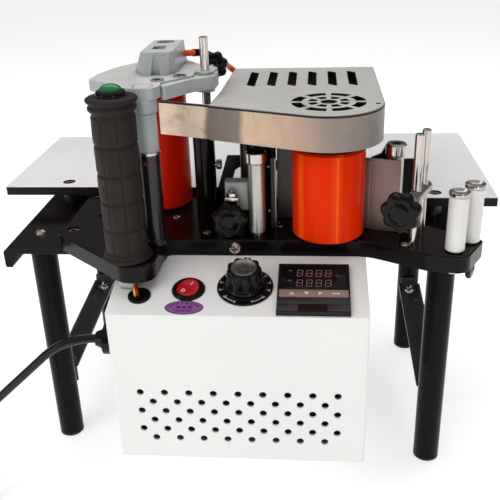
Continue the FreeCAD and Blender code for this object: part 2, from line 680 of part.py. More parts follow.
def shaft_bushes():
    """Bronze bushes: feed shaft in the plate and the gear plate, drive and glue shafts in the gear plate."""
    bushes = [ring(FEED_XY, PLATE_BOTTOM, PLATE_TOP, FEED_SHAFT_D + 2 * BUSH_WALL, FEED_SHAFT_D + RUNNING)]
    for xy, d in ((FEED_XY, FEED_SHAFT_D), (DRIVE_XY, DRIVE_SHAFT_D), (GLUE_XY, GLUE_SHAFT_D)):
        bushes.append(ring(xy, GEAR_PLATE_BOTTOM, GEAR_PLATE_TOP + 1.5, d + 2 * BUSH_WALL, d + RUNNING))
    return group(bushes)


def drive_shaft():
    """The motor's output shaft with its pinion."""
    phase = meshed_phase(DRIVE_DIRECTION, FEED_TEETH, DRIVE_DIRECTION, DRIVE_TEETH)
    shaft = rod(DRIVE_XY, PLATE_BOTTOM - 20, SHAFT_TOP - 0.8, DRIVE_SHAFT_D)
    return fuse([shaft, gear(DRIVE_XY, DRIVE_TEETH, phase, GEAR_BOTTOM, GEAR_TOP, DRIVE_SHAFT_D - 1)])


def gear_motor():
    """Motor with its gearbox on top, hung from the plate inside the control box."""
    xy = (DRIVE_XY[0], DRIVE_XY[1] + MOTOR_OFFSET)
    gearbox = rod(xy, PLATE_BOTTOM - 26, PLATE_BOTTOM, MOTOR_D + 4)
    motor = turned(xy, [(0, MOTOR_BOTTOM), (MOTOR_D / 2 - 3, MOTOR_BOTTOM), (MOTOR_D / 2, MOTOR_BOTTOM + 3),
                        (MOTOR_D / 2, PLATE_BOTTOM - 26), (0, PLATE_BOTTOM - 26)])
    tail = rod(xy, MOTOR_BOTTOM - 5, MOTOR_BOTTOM, 12)
    body = fuse([gearbox, motor, tail])
    return body.cut(rod(DRIVE_XY, PLATE_BOTTOM - 21, PLATE_BOTTOM + 1, DRIVE_SHAFT_D + RUNNING))


def cover_outline(inset):
    """The cover's outline: a round front end near the feed shaft, a straight front and a square back."""
    x, y = COVER_XY
    r = COVER_END_R - inset
    tip_x, tip_y = COVER_TIP
    reach = math.hypot(tip_x - x, tip_y - y)
    slant = math.atan2(tip_y - y, tip_x - x) % (2 * math.pi) + math.acos(COVER_END_R / reach)
    touch = at_angle(COVER_XY, math.degrees(slant), r)
    left = -11.5 + inset
    slope = (touch[1] - tip_y) / (touch[0] - tip_x)
    front_left = (left, touch[1] + slope * (left - touch[0]))
    middle = at_angle(COVER_XY, math.degrees((slant + 2 * math.pi) / 2), r)
    right = (x + r, y)
    back = COVER_BACK - inset
    lines = [V(front_left[0], front_left[1], 0), V(touch[0], touch[1], 0)]
    arc = Part.Arc(lines[1], V(middle[0], middle[1], 0), V(right[0], right[1], 0)).toShape()
    rest = [V(right[0], right[1], 0), V(x + r, back, 0), V(-6 + inset, back, 0), V(-8 + inset, -45, 0), lines[0]]
    return Part.Wire([Part.makeLine(lines[0], lines[1]), arc] + Part.makePolygon(rest).Edges)


def cover_solid(inset, z0, z1):
    face = Part.Face(cover_outline(inset))
    face.translate(V(0, 0, z0))
    return face.extrude(V(0, 0, z1 - z0))


def arc_slot(inner, outer, start, span):
    """A slot between two radii about the cover's round end, between two angles."""
    edges = []
    corners = []
    for r in (inner, outer):
        points = [at_angle(COVER_XY, start + span * f, r) for f in (0, 0.5, 1)]
        points = [V(px, py, COVER_TOP - 5) for px, py in points]
        edges.append(Part.Arc(*points).toShape())
        corners.append((points[0], points[2]))
    edges.append(Part.makeLine(corners[0][1], corners[1][1]))
    edges.append(Part.makeLine(corners[1][0], corners[0][0]))
    return Part.Face(Part.Wire(Part.sortEdges(edges)[0])).extrude(V(0, 0, 10))


def drive_cover():
    shell = cover_solid(0, COVER_BOTTOM, COVER_TOP)
    roof = [e for e in shell.Edges if e.BoundBox.ZMin > COVER_TOP - 0.01 and e.BoundBox.YMin < -60]
    shell = shell.makeFillet(1.2, roof)
    shell = shell.cut(cover_solid(COVER_SHEET, COVER_BOTTOM - 1, COVER_TOP - COVER_SHEET))
    slot_x = [12.3 + 14.9 * i for i in range(6)]
    for x in slot_x:
        left, right = x - SLOT_HALF, x + SLOT_HALF
        shell = shell.cut(prism([(left, -28, 1), (right, -33.5, 1), (right, 14, 1), (left, 19.5, 1)],
                                COVER_TOP - 5, COVER_TOP + 1))
    for i in range(8):
        shell = shell.cut(arc_slot(*GRILLE_OUTER, 45 * i + 5, 35))
        shell = shell.cut(arc_slot(*GRILLE_INNER, 45 * i + 8, 29))
    shell = shell.cut(rod(COVER_XY, COVER_TOP - 5, COVER_TOP + 1, COVER_EYE_D))
    shell = shell.cut(rod((COVER_XY[0] + 32, COVER_XY[1] - 6), COVER_TOP - 5, COVER_TOP + 1, 3.5))
    tip = V(COVER_TIP[0], COVER_TIP[1], COVER_BOTTOM)
    joint_x = -10.3
    face_slope = -0.3785
    along = V(1, face_slope, 0).normalize()
    length = (joint_x - tip.x) / along.x
    inward = V(-along.y, along.x, 0) * COVER_SHEET
    ends = [tip, tip.add(along * length), tip.add(along * length).add(inward), tip.add(inward), tip]
    tab = Part.Face(Part.makePolygon(ends)).extrude(V(0, 0, COVER_TOP - COVER_BOTTOM - 0.4))
    tab = tab.cut(rod(POST_XY, COVER_BOTTOM - 1, COVER_TOP + 1, POST_D + 2.4))
    return fuse([shell, tab])


def gear_plate():
    plate = cover_solid(COVER_SHEET + 0.3, GEAR_PLATE_BOTTOM, GEAR_PLATE_TOP)
    for xy, d in ((FEED_XY, FEED_SHAFT_D), (DRIVE_XY, DRIVE_SHAFT_D), (GLUE_XY, GLUE_SHAFT_D)):
        plate = plate.cut(rod(xy, GEAR_PLATE_BOTTOM - 1, GEAR_PLATE_TOP + 1, d + 2 * BUSH_WALL))
    return plate


def left_column():
    """Black column that carries the gear plate's left end."""
    column = rod(LEFT_COLUMN_XY, PLATE_TOP, 268, LEFT_COLUMN_D)
    foot = rod(LEFT_COLUMN_XY, PLATE_BOTTOM + 2, PLATE_TOP, 8.0)
    lug = prism([(-31, -48, 7), (-4, -48, 2), (-4, -32, 2), (-31, -32, 7)], 266, GEAR_PLATE_BOTTOM)
    return fuse([column, foot, lug])


def drive_column():
    tube = turned(DRIVE_XY, [(DRIVE_COLUMN_BORE / 2, PLATE_TOP), (DRIVE_COLUMN_D / 2, PLATE_TOP),
                             (DRIVE_COLUMN_D / 2, GEAR_PLATE_BOTTOM), (DRIVE_COLUMN_BORE / 2, GEAR_PLATE_BOTTOM)])
    return tube


# ---- Tape path ----

def glue_pot():
    """Heated tank with a glue roller behind its front window."""
    pot = box(33.2, -44, 207, 84, -8, 262)
    pot = fuse([pot, box(36, -44, PLATE_TOP, 82, -29, 207.5)])
    cavity = rod(GLUE_XY, 211, 258, 24)
    hopper = box(62, -34, 215, 80, -12, 263)
    pot = pot.cut(cavity).cut(hopper)
    pot = pot.cut(rod(GLUE_XY, 257, 263, GLUE_SHAFT_D + 4))
    pot = pot.cut(box(GLUE_XY[0] - 8, -46, 216, GLUE_XY[0] + 8, -38, 252))
    pot = pot.cut(bar(V(32, -16, 230), V(1, 0, 0), 28, 8.0))
    return pot


def glue_roller():
    """Glue roller, its shaft and its gear."""
    phase = meshed_phase(GLUE_DIRECTION, FEED_TEETH, DRIVE_DIRECTION, GLUE_TEETH)
    shaft = rod(GLUE_XY, 212, SHAFT_TOP - 0.8, GLUE_SHAFT_D)
    drum = rod(GLUE_XY, 214, 254, GLUE_ROLLER_D)
    return fuse([shaft, drum, gear(GLUE_XY, GLUE_TEETH, phase, GEAR_BOTTOM, GEAR_TOP, GLUE_SHAFT_D - 1)])


def heater_cartridge():
    return bar(V(26, -16, 230), V(1, 0, 0), 33, 8.0)


def guide_roller_pins():
    """Shoulder screws with a socketed round cap, one in each guide roller."""
    pins = []
    for xy in GUIDES:
        pin = rod(xy, PLATE_TOP - 8, GUIDE_TOP + 1, GUIDE_PIN_D)
        foot = rod(xy, PLATE_TOP, GUIDE_BOTTOM - 0.3, 9)
        cap = turned(xy, [(0, GUIDE_TOP + 0.2), (GUIDE_CAP_D / 2 - 0.6, GUIDE_TOP + 0.2),
                          (GUIDE_CAP_D / 2, GUIDE_TOP + 0.8), (GUIDE_CAP_D / 2, GUIDE_CAP_TOP - 1),
                          (GUIDE_CAP_D / 2 - 1, GUIDE_CAP_TOP), (0, GUIDE_CAP_TOP)])
        screw = fuse([pin, foot, cap])
        pins.append(screw.cut(hexagon(xy, GUIDE_CAP_TOP - 4, GUIDE_CAP_TOP + 1, 6)))
    return group(pins)


def guide_roller(xy):
    bore = GUIDE_PIN_D + RUNNING
    return turned(xy, [(bore / 2, GUIDE_BOTTOM), (GUIDE_D / 2 - 0.4, GUIDE_BOTTOM), (GUIDE_D / 2, GUIDE_BOTTOM + 0.4),
                       (GUIDE_D / 2, GUIDE_TOP - 0.4), (GUIDE_D / 2 - 0.4, GUIDE_TOP), (bore / 2, GUIDE_TOP)])


def cutter_block():
    block = box(-3.5, -82, 218.4, 13.2, -72.5, 239.5)
    edges = [e for e in block.Edges if e.BoundBox.YMax < -81.9]
    block = block.makeChamfer(0.7, edges)
    foot = box(-8, -80, PLATE_TOP, 7, -72.5, 218.6)
    return fuse([block, foot]).cut(bar(V(0, -81, CUTTER_KNOB_Z), V(0, 1, 0), 10, 5.1))


def cutter_knob():
    start = V(0, -87, CUTTER_KNOB_Z)
    return star_knob(13.0, 9.0, 7, start, V(0, -1, 0), (5.0, 8.0))


def guide_brackets():
    """Black steel brackets: the arch behind the cutter block and the fence's support on the right."""
    outer = [(-20.5, PLATE_TOP), (-7.2, 242.5), (23.2, 242.5), (31, PLATE_TOP)]
    inner = [(-11.5, PLATE_TOP - 1), (-1.2, 231.5), (2.5, 234), (16, 234), (21, PLATE_TOP - 1)]
    slabs = []
    for corners, y0, y1 in ((outer, -31.4, -28.4), (inner, -33, -27)):
        points = [V(x, y0, z) for x, z in corners]
        points.append(points[0])
        slabs.append(Part.Face(Part.makePolygon(points)).extrude(V(0, y1 - y0, 0)))
    support = [(100, PLATE_TOP), (121, PLATE_TOP), (119.5, 255.6), (110.3, 255.6), (107, 249.5), (100, 246.5)]
    points = [V(x, -50, z) for x, z in support + support[:1]]
    return group([slabs[0].cut(slabs[1]), Part.Face(Part.makePolygon(points)).extrude(V(0, 3, 0))])


def fence_plate():
    """Thin steel fence that guides the tape, with a narrow strip riveted at its left edge."""
    left = V(94.5, -70.8, 0)
    right = V(118.6, -77.6, 0)
    length = left.distanceToPoint(right)
    wire = wire_of([(0, 201.2, 0), (length, 201.2, 4), (length, 253.8, 0.6), (0, 253.8, 0.6)])
    sheet = Part.Face(wire).extrude(V(0, 0, 1.6))
    strip = Part.Face(wire_of([(0, 203, 0), (4, 203, 0), (4, 252, 0), (0, 252, 0)])).extrude(V(0, 0, 1.2))
    strip.translate(V(0, 0, 1.6))
    sheet = fuse([sheet, strip])
    turn = math.degrees(math.atan2(right.y - left.y, right.x - left.x))
    upright = FreeCAD.Placement(V(0, 0, 0), FreeCAD.Rotation(V(1, 0, 0), 90))
    spin = FreeCAD.Placement(left, FreeCAD.Rotation(UP, turn))
    sheet.Placement = spin.multiply(upright)
    return sheet


def tape_rods():
    rods = []
    for x, y, top in TAPE_RODS:
        rods.append(turned((x, y), [(0, PLATE_TOP - 10), (ROD_D / 2, PLATE_TOP - 10), (ROD_D / 2, top - 0.6),
                                    (ROD_D / 2 - 0.6, top), (0, top)]))
    return group(rods)


def rod_clamp():
    """Round cross bar with a hole for each tape rod and the clamp stud's thread in its front end."""
    back = V(TAPE_RODS[1][0], TAPE_RODS[1][1], CLAMP_Z).sub(CLAMP_DIRECTION * 6.5)
    length = 15.36 + 6.5 + 5.5
    body = bar(back, CLAMP_DIRECTION, length, 9.5)
    for x, y, _ in TAPE_RODS:
        body = body.cut(rod((x, y), CLAMP_Z - 10, CLAMP_Z + 10, ROD_D + RUNNING))
    stud_start = V(TAPE_RODS[0][0], TAPE_RODS[0][1], CLAMP_Z).add(CLAMP_DIRECTION * 2)
    return body.cut(bar(stud_start, CLAMP_DIRECTION, 10, 5.1))


def rod_clamp_knob():
    start = V(TAPE_RODS[0][0], TAPE_RODS[0][1], CLAMP_Z).add(CLAMP_DIRECTION * CLAMP_KNOB_REACH)
    stud = CLAMP_KNOB_REACH - 4 - ROD_D / 2 - 0.3
    return star_knob(13.5, 10.0, 7, start, CLAMP_DIRECTION, (5.0, stud))


def edge_roller(xy):
    bore = GUIDE_PIN_D + RUNNING
    r = EDGE_ROLLER_D / 2
    return turned(xy, [(bore / 2, 201.8), (r - 0.8, 201.8), (r, 202.6), (r, EDGE_ROLLER_TOP - 0.8),
                       (r - 0.8, EDGE_ROLLER_TOP), (bore / 2, EDGE_ROLLER_TOP)])


def edge_roller_screws():
    """Long pan-head screws the white rollers turn on, each with a washer and nut under the plate."""
    screws = []
    for xy in EDGE_ROLLERS:
        pin = rod(xy, PLATE_BOTTOM - 4, EDGE_ROLLER_TOP + 1, GUIDE_PIN_D)
        head_z = EDGE_ROLLER_TOP + 0.2
        head = turned(xy, [(0, head_z), (EDGE_HEAD_D / 2, head_z), (EDGE_HEAD_D / 2, head_z + 0.8),
                           (EDGE_HEAD_D / 2 - 1.2, head_z + 2.0), (EDGE_HEAD_D / 2 - 3.4, head_z + 2.9),
                           (0, head_z + 3.2)])
        for across, along in ((1.4, 6.5), (6.5, 1.4)):
            head = head.cut(box(xy[0] - across / 2, xy[1] - along / 2, head_z + 1.6,
                                xy[0] + across / 2, xy[1] + along / 2, head_z + 4))
        collar = ring(xy, PLATE_TOP, 201.7, 9, GUIDE_PIN_D)
        nut = hexagon(xy, PLATE_BOTTOM - 3.2, PLATE_BOTTOM, 10)
        screws.append(fuse([pin, head, collar, nut]))
    return group(screws)


# ---- Control box ----

def box_profile(inset):
    back = BOX_BACK + (1 if inset else 0)
    front = BOX_FRONT + inset
    crease = BOX_CREASE_Z - inset * 0.9
    top = PLATE_BOTTOM - inset
    return [(front, BOX_BOTTOM + inset), (front, crease), (PANEL_BACK + inset * 0.1, top), (back, top),
            (back, BOX_BOTTOM + inset)]


def control_box():
    shell = side_slab(box_profile(0), BOX_LEFT, BOX_RIGHT)
    edges = [e for e in shell.Edges if e.BoundBox.YMax < BOX_FRONT + 0.01 and e.BoundBox.XLength < 1]
    shell = shell.makeFillet(1.4, edges)
    shell = shell.cut(side_slab(box_profile(SHEET), BOX_LEFT + SHEET, BOX_RIGHT - SHEET))
    vents = []
    middle_x = (BOX_LEFT + BOX_RIGHT) / 2 - 0.5
    for row in range(6):
        count = 9 - row % 2
        for i in range(count):
            x = middle_x + (i - (count - 1) / 2) * VENT_PITCH
            z = VENT_TOP_Z - row * VENT_ROW_PITCH
            vents.append(bar(V(x, BOX_FRONT - 1, z), V(0, 1, 0), SHEET + 2, VENT_D))
    shell = shell.cut(vents)
    inset = (CONTROLLER_SIZE - CONTROLLER_BODY) / 2 - 0.2
    x0 = CONTROLLER_LEFT + inset
    x1 = CONTROLLER_LEFT + CONTROLLER_SIZE - inset
    window = box(x0, CONTROLLER_S + inset, -4, x1, CONTROLLER_S + CONTROLLER_SIZE - inset, 2)
    openings = [window, rod(SWITCH_AT, -4, 2, 20.2), rod(DIAL_AT, -4, 2, 7.2), rod(SOCKET_AT, -4, 2, 12.2)]
    shell = shell.cut([on_panel(opening) for opening in openings])
    shell = shell.cut(bar(V(BOX_LEFT - 1, GLAND_YZ[0], GLAND_YZ[1]), V(1, 0, 0), 4, 12.2))
    motor_xy = (DRIVE_XY[0], DRIVE_XY[1] + MOTOR_OFFSET)
    shell = shell.cut(rod(motor_xy, PLATE_BOTTOM - 3, PLATE_BOTTOM + 1, MOTOR_D + 5))
    shell = shell.cut(rod(FEED_XY, PLATE_BOTTOM - 3, PLATE_BOTTOM + 1, FEED_SHAFT_D + 2 * BUSH_WALL + 1))
    for xy in (PRESS_XY, POST_XY, LEFT_COLUMN_XY):
        shell = shell.cut(rod(xy, PLATE_BOTTOM - 3, PLATE_BOTTOM + 1, PRESS_PIN_D + 1))
    return shell


def box_back_cover():
    cover = box(BOX_LEFT, BOX_BACK, BOX_BOTTOM, BOX_RIGHT, BOX_BACK + SHEET, PLATE_BOTTOM)
    for i in range(8):
        x = -45 + 15 * i
        cover = cover.cut(box(x, BOX_BACK - 1, 90, x + 4, BOX_BACK + SHEET + 1, 130))
    return cover


def temperature_controller():
    """Panel controller: square bezel on the panel, body behind it."""
    x0 = CONTROLLER_LEFT
    y0 = CONTROLLER_S
    bezel = box(x0, y0, 0, x0 + CONTROLLER_SIZE, y0 + CONTROLLER_SIZE, 4.5)
    front_edges = [e for e in bezel.Edges if e.BoundBox.ZMin > 4.49]
    bezel = bezel.makeChamfer(0.8, front_edges)
    bezel = bezel.cut(box(x0 + 2.2, y0 + 11, 3.9, x0 + CONTROLLER_SIZE - 2.2, y0 + CONTROLLER_SIZE - 2.2, 6))
    inset = (CONTROLLER_SIZE - CONTROLLER_BODY) / 2
    body = box(x0 + inset, y0 + inset, -72, x0 + CONTROLLER_SIZE - inset, y0 + CONTROLLER_SIZE - inset, 0.5)
    return on_panel(fuse([bezel, body]))


def switch_frame():
    """Round frame of the rocker switch, with the rocker's pivot pin and its body behind the panel."""
    rim = turned(SWITCH_AT, [(0, -20), (9.9, -20), (9.9, 0), (SWITCH_D / 2, 0), (SWITCH_D / 2, 1.2),
                             (SWITCH_D / 2 - 1.2, 2.4), (0, 2.4)])
    x, y = SWITCH_AT
    well = rod(SWITCH_AT, -9, 3, ROCKER_WELL_D)
    pivot = bar(V(x - 9, y, 0), V(1, 0, 0), 18, ROCKER_PIN_D)
    frame = fuse([rim.cut(well), pivot])
    frame.rotate(V(x, y, 0), UP, SWITCH_TURN)
    return on_panel(frame)


def power_rocker():
    """Round red rocker that tilts about its cross pin, resting with its lower left half down."""
    x, y = SWITCH_AT
    half = ROCKER_D / 2
    corners = [(-half, -3.0), (-half, 3.9), (0, 2.7), (half, 3.9), (half, -3.0)]
    points = [V(x - half, y + a, b) for a, b in corners]
    points.append(points[0])
    cap = Part.Face(Part.makePolygon(points)).extrude(V(ROCKER_D, 0, 0))
    cap = cap.common(rod(SWITCH_AT, -4, 8, ROCKER_D - 0.4))
    cap = cap.cut(bar(V(x - 9, y, 0), V(1, 0, 0), 18, ROCKER_PIN_D + RUNNING))
    cap.rotate(V(x, y, 0), V(1, 0, 0), 8)
    cap.rotate(V(x, y, 0), UP, SWITCH_TURN)
    return on_panel(cap)


def speed_dial():
    """Dial plate on the panel and the potentiometer behind it."""
    plate = rod(DIAL_AT, 0, 1.0, DIAL_D)
    bush = rod(DIAL_AT, -3, 1.0, 7.0)
    body = rod(DIAL_AT, -14, -SHEET - 0.3, 17)
    spindle = rod(DIAL_AT, 1.0, 10, 6.0)
    return on_panel(fuse([plate, bush, body, spindle]))


def speed_knob():
    """Fluted knob with a wide skirt."""
    x, y = DIAL_AT
    body = turned(DIAL_AT, [(0, 1.4), (13.4, 1.4), (12.8, 4.2), (11.2, 5.4), (10.2, 16.8), (9.4, 17.6), (0, 17.6)])
    for i in range(6):
        flute = at_angle(DIAL_AT, 60 * i + 30, 12.6)
        body = body.cut(rod(flute, 5.4, 20, 5.0))
    body = body.cut(rod(DIAL_AT, 0, 10.4, 6.0 + RUNNING))
    return on_panel(body)


def lead_socket():
    """Black socket in the panel where the sensor leads come out."""
    rim = turned(SOCKET_AT, [(0, -12), (6, -12), (6, 0), (SOCKET_D / 2, 0), (SOCKET_D / 2, 1), (SOCKET_D / 2 - 1.2, 1.8),
                             (5, 1.8), (4.6, 0.6), (0, 0.6)])
    return on_panel(rim)


def cable_gland():
    y, z = GLAND_YZ
    way = V(-1, 0, 0)
    body = bar(V(BOX_LEFT + 8, y, z), way, 8.0, 12.0)
    flange = bar(V(BOX_LEFT, y, z), way, 5.0, 21.0)
    nose = Part.makeCone(7.5, 5.0, 6, V(BOX_LEFT - 5, y, z), way)
    gland = fuse([body, flange, nose])
    return gland.cut(bar(V(BOX_LEFT + 9, y, z), way, 22, CABLE_D))


def power_cable():
    """Mains cable from inside the box, out to the left and down, ending in a plug that hangs over the floor."""
    y, z = GLAND_YZ
    lean = math.radians(43.0)
    start = V(BOX_LEFT + 20, y, z)
    nose = V(BOX_LEFT - 11, y, z)
    first_r = 58.0
    half = lean / 2
    bend = V(nose.x - first_r * math.sin(half), y, z - first_r * (1 - math.cos(half)))
    slant = V(nose.x - first_r * math.sin(lean), y, z - first_r * (1 - math.cos(lean)))
    slant_end = slant.add(V(-math.cos(lean), 0, -math.sin(lean)) * 66.0)
    second_r = 45.0
    middle = (lean + math.pi / 2) / 2
    down_middle = V(slant_end.x - second_r * (math.sin(middle) - math.sin(lean)), y,
                    slant_end.z - second_r * (math.cos(lean) - math.cos(middle)))
    down = V(slant_end.x - second_r * (1 - math.sin(lean)), y, slant_end.z - second_r * math.cos(lean))
    x = down.x
    edges = [Part.makeLine(start, nose), Part.Arc(nose, bend, slant).toShape(), Part.makeLine(slant, slant_end),
             Part.Arc(slant_end, down_middle, down).toShape(), Part.makeLine(down, V(x, y, PLUG_TOP - 2))]
    circle = Part.Wire(Part.makeCircle(CABLE_D / 2, start, V(-1, 0, 0)))
    cable = Part.Wire(edges).makePipeShell([circle], True, True)
    neck = Part.makeCone(6.5, 4.0, 10, V(x, y, PLUG_TOP), UP)
    body = box(x - 8, y - 8, PLUG_TOP - 28, x + 8, y + 8, PLUG_TOP)
    body = body.makeChamfer(2.5, [e for e in body.Edges if e.BoundBox.ZLength > 20])
    blade_top = PLUG_TOP - 27
    blades = [box(x + side - 0.8, y - 3, 1, x + side + 0.8, y + 3, blade_top) for side in (-5, 5)]
    return fuse([cable, neck, body] + blades)


def power_board():
    """Circuit board on the box's floor with its transformer and large parts."""
    z = BOX_BOTTOM + 8
    board = box(-66, -140, z, 84, -100, z + 1.6)
    feet = [rod((x, y), BOX_BOTTOM + SHEET, z, 6) for x in (-60, 78) for y in (-134, -106)]
    transformer = box(-60, -136, z + 1.6, -20, -104, z + 34)
    drum = rod((2, -120), z + 1.6, z + 28, 18)
    relay = box(22, -132, z + 1.6, 50, -112, z + 18)
    terminals = box(58, -134, z + 1.6, 78, -106, z + 14)
    return fuse([board] + feet + [transformer, drum, relay, terminals])


NODES = {
    "side_rails": side_rails,
    "legs": legs,
    "leg_end_caps": leg_end_caps,
    "braces": braces,
    "pan_head_screws": pan_head_screws,
    "left_table_board": left_table_board,
    "right_table_board": right_table_board,
    "table_spacers": table_spacers,
    "socket_screws": socket_screws,
    "base_plate": base_plate,
    "handle_core": handle_core,
    "handle_grip": handle_grip,
    "handle_button": handle_button,
    "head_post": head_post,
    "head_casting": head_casting,
    "head_arm": head_arm,
    "gauge_rod": gauge_rod,
    "arm_knob": arm_knob,
    "heater_lead": heater_lead,
    "press_roller": press_roller,
    "press_roller_pin": press_roller_pin,
    "feed_roller": feed_roller,
    "feed_roller_shaft": feed_roller_shaft,
    "feed_gear": feed_gear,
    "shaft_bushes": shaft_bushes,
    "drive_shaft": drive_shaft,
    "gear_motor": gear_motor,
    "gear_plate": gear_plate,
    "drive_cover": drive_cover,
    "left_column": left_column,
    "drive_column": drive_column,
    "glue_pot": glue_pot,
    "glue_roller": glue_roller,
    "heater_cartridge": heater_cartridge,
    "guide_roller_pins": guide_roller_pins,
    "centre_guide_roller": lambda: guide_roller(GUIDES[0]),
    "right_guide_roller": lambda: guide_roller(GUIDES[1]),
    "cutter_block": cutter_block,
    "cutter_knob": cutter_knob,
    "guide_brackets": guide_brackets,
    "fence_plate": fence_plate,
    "tape_rods": tape_rods,
    "rod_clamp": rod_clamp,
    "rod_clamp_knob": rod_clamp_knob,
    "front_edge_roller": lambda: edge_roller(EDGE_ROLLERS[0]),
    "rear_edge_roller": lambda: edge_roller(EDGE_ROLLERS[1]),
    "edge_roller_screws": edge_roller_screws,
    "control_box": control_box,
    "box_back_cover": box_back_cover,
    "temperature_controller": temperature_controller,
    "switch_frame": switch_frame,
    "power_rocker": power_rocker,
    "speed_dial": speed_dial,
    "speed_knob": speed_knob,
    "lead_socket": lead_socket,
    "cable_gland": cable_gland,
    "power_cable": power_cable,
    "power_board": power_board,
}

os.makedirs("parts", exist_ok=True)
for name, make in NODES.items():
    shape = make()
    shape.exportStep("parts/" + name + ".step")
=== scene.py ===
import math
import bpy
from mathutils import Matrix, Vector


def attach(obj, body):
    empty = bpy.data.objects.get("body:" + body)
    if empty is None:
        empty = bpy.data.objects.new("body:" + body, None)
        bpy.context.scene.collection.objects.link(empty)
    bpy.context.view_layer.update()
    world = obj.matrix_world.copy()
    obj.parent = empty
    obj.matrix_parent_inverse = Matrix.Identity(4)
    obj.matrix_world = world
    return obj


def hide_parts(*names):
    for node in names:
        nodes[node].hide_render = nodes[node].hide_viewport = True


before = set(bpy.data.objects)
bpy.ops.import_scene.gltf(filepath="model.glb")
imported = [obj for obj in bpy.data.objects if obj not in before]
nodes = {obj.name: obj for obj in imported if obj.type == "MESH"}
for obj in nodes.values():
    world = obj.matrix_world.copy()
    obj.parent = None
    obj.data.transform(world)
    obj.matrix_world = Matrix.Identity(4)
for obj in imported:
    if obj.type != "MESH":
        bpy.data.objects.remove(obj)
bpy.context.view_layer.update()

MM = 0.001

# ---- materials


class Shader:
    """A small wrapper that builds one node material."""

    def __init__(self, name):
        self.material = bpy.data.materials.new(name)
        self.material.use_nodes = True
        self.tree = self.material.node_tree
        self.tree.nodes.clear()
        self.bsdf = self.add("BsdfPrincipled")
        self.add("OutputMaterial", {0: self.bsdf.outputs[0]})
        self.coords = self.add("TexCoord").outputs["Object"]

    def put(self, value, socket):
        """Set a socket from a number or a tuple, or link another socket to it."""
        if isinstance(value, (int, float)):
            socket.default_value = value
        elif isinstance(value, (tuple, list)):
            socket.default_value = (*value[:3], 1.0) if len(socket.default_value) == 4 else value
        else:
            self.tree.links.new(value, socket)

    def add(self, kind, inputs=None, **settings):
        node = self.tree.nodes.new("ShaderNode" + kind)
        for key, value in settings.items():
            setattr(node, key, value)
        for key, value in (inputs or {}).items():
            self.put(value, node.inputs[key])
        return node

    def math(self, operation, a, b=0.0):
        return self.add("Math", {0: a, 1: b}, operation=operation).outputs[0]

    def noise(self, scale, detail=4.0, rough=0.55, stretch=(1, 1, 1), warp=0.0):
        mapping = self.add("Mapping", {0: self.coords, "Scale": stretch})
        node = self.add("TexNoise", {"Vector": mapping.outputs[0], "Scale": scale, "Detail": detail,
                                     "Roughness": rough, "Distortion": warp})
        return node.outputs["Fac"]

    def spread(self, value, low, high, from_low=0.3, from_high=0.7):
        node = self.add("MapRange", {"Value": value, "From Min": from_low, "From Max": from_high,
                                     "To Min": low, "To Max": high})
        return node.outputs[0]

    def mix(self, factor, a, b):
        return self.add("Mix", {0: factor, 6: a, 7: b}, data_type="RGBA").outputs[2]

    def ramp(self, value, stops):
        node = self.add("ValToRGB", {0: value})
        while len(node.color_ramp.elements) < len(stops):
            node.color_ramp.elements.new(0.5)
        for element, (place, colour) in zip(node.color_ramp.elements, stops):
            element.position = place
            element.color = (*colour, 1.0)
        return node.outputs[0]

    def axis(self, source, letter):
        return self.add("SeparateXYZ", {0: source}).outputs[letter]

    def facing(self, letter="Z"):
        """The true normal's part along one axis."""
        return self.axis(self.add("NewGeometry").outputs["True Normal"], letter)

    def across_view(self):
        """The normal's part to the right of the view, -1..1."""
        normal = self.add("NewGeometry").outputs["Normal"]
        turned = self.add("VectorTransform", {0: normal}, vector_type="NORMAL", convert_from="WORLD",
                          convert_to="CAMERA")
        return self.axis(turned.outputs[0], "X")

    def edge(self, radius, samples=4):
        """(rounded normal, 0..1 mask that is 1 on sharp edges)"""
        bevel = self.add("Bevel", {"Radius": radius}, samples=samples)
        normal = self.add("NewGeometry").outputs["Normal"]
        dot = self.add("VectorMath", {0: bevel.outputs[0], 1: normal}, operation="DOT_PRODUCT")
        return bevel.outputs[0], self.spread(dot.outputs["Value"], 1.0, 0.0, 0.8, 0.985)

    def crevice(self, reach, samples=6):
        """0..1 mask that is 1 deep in corners and pockets."""
        node = self.add("AmbientOcclusion", {"Distance": reach}, samples=samples, only_local=True)
        return self.spread(node.outputs["AO"], 1.0, 0.0, 0.3, 0.85)

    def bump(self, height, strength, distance, normal=None):
        inputs = {"Height": height, "Strength": strength, "Distance": distance}
        if normal is not None:
            inputs["Normal"] = normal
        return self.add("Bump", inputs).outputs[0]

    def set(self, **values):
        names = {"colour": "Base Color", "rough": "Roughness", "metal": "Metallic", "normal": "Normal",
                 "specular": "Specular IOR Level", "glow": "Emission Color",
                 "glow_strength": "Emission Strength", "subsurface": "Subsurface Weight"}
        for key, value in values.items():
            self.put(value, self.bsdf.inputs[names[key]])
        return self.material


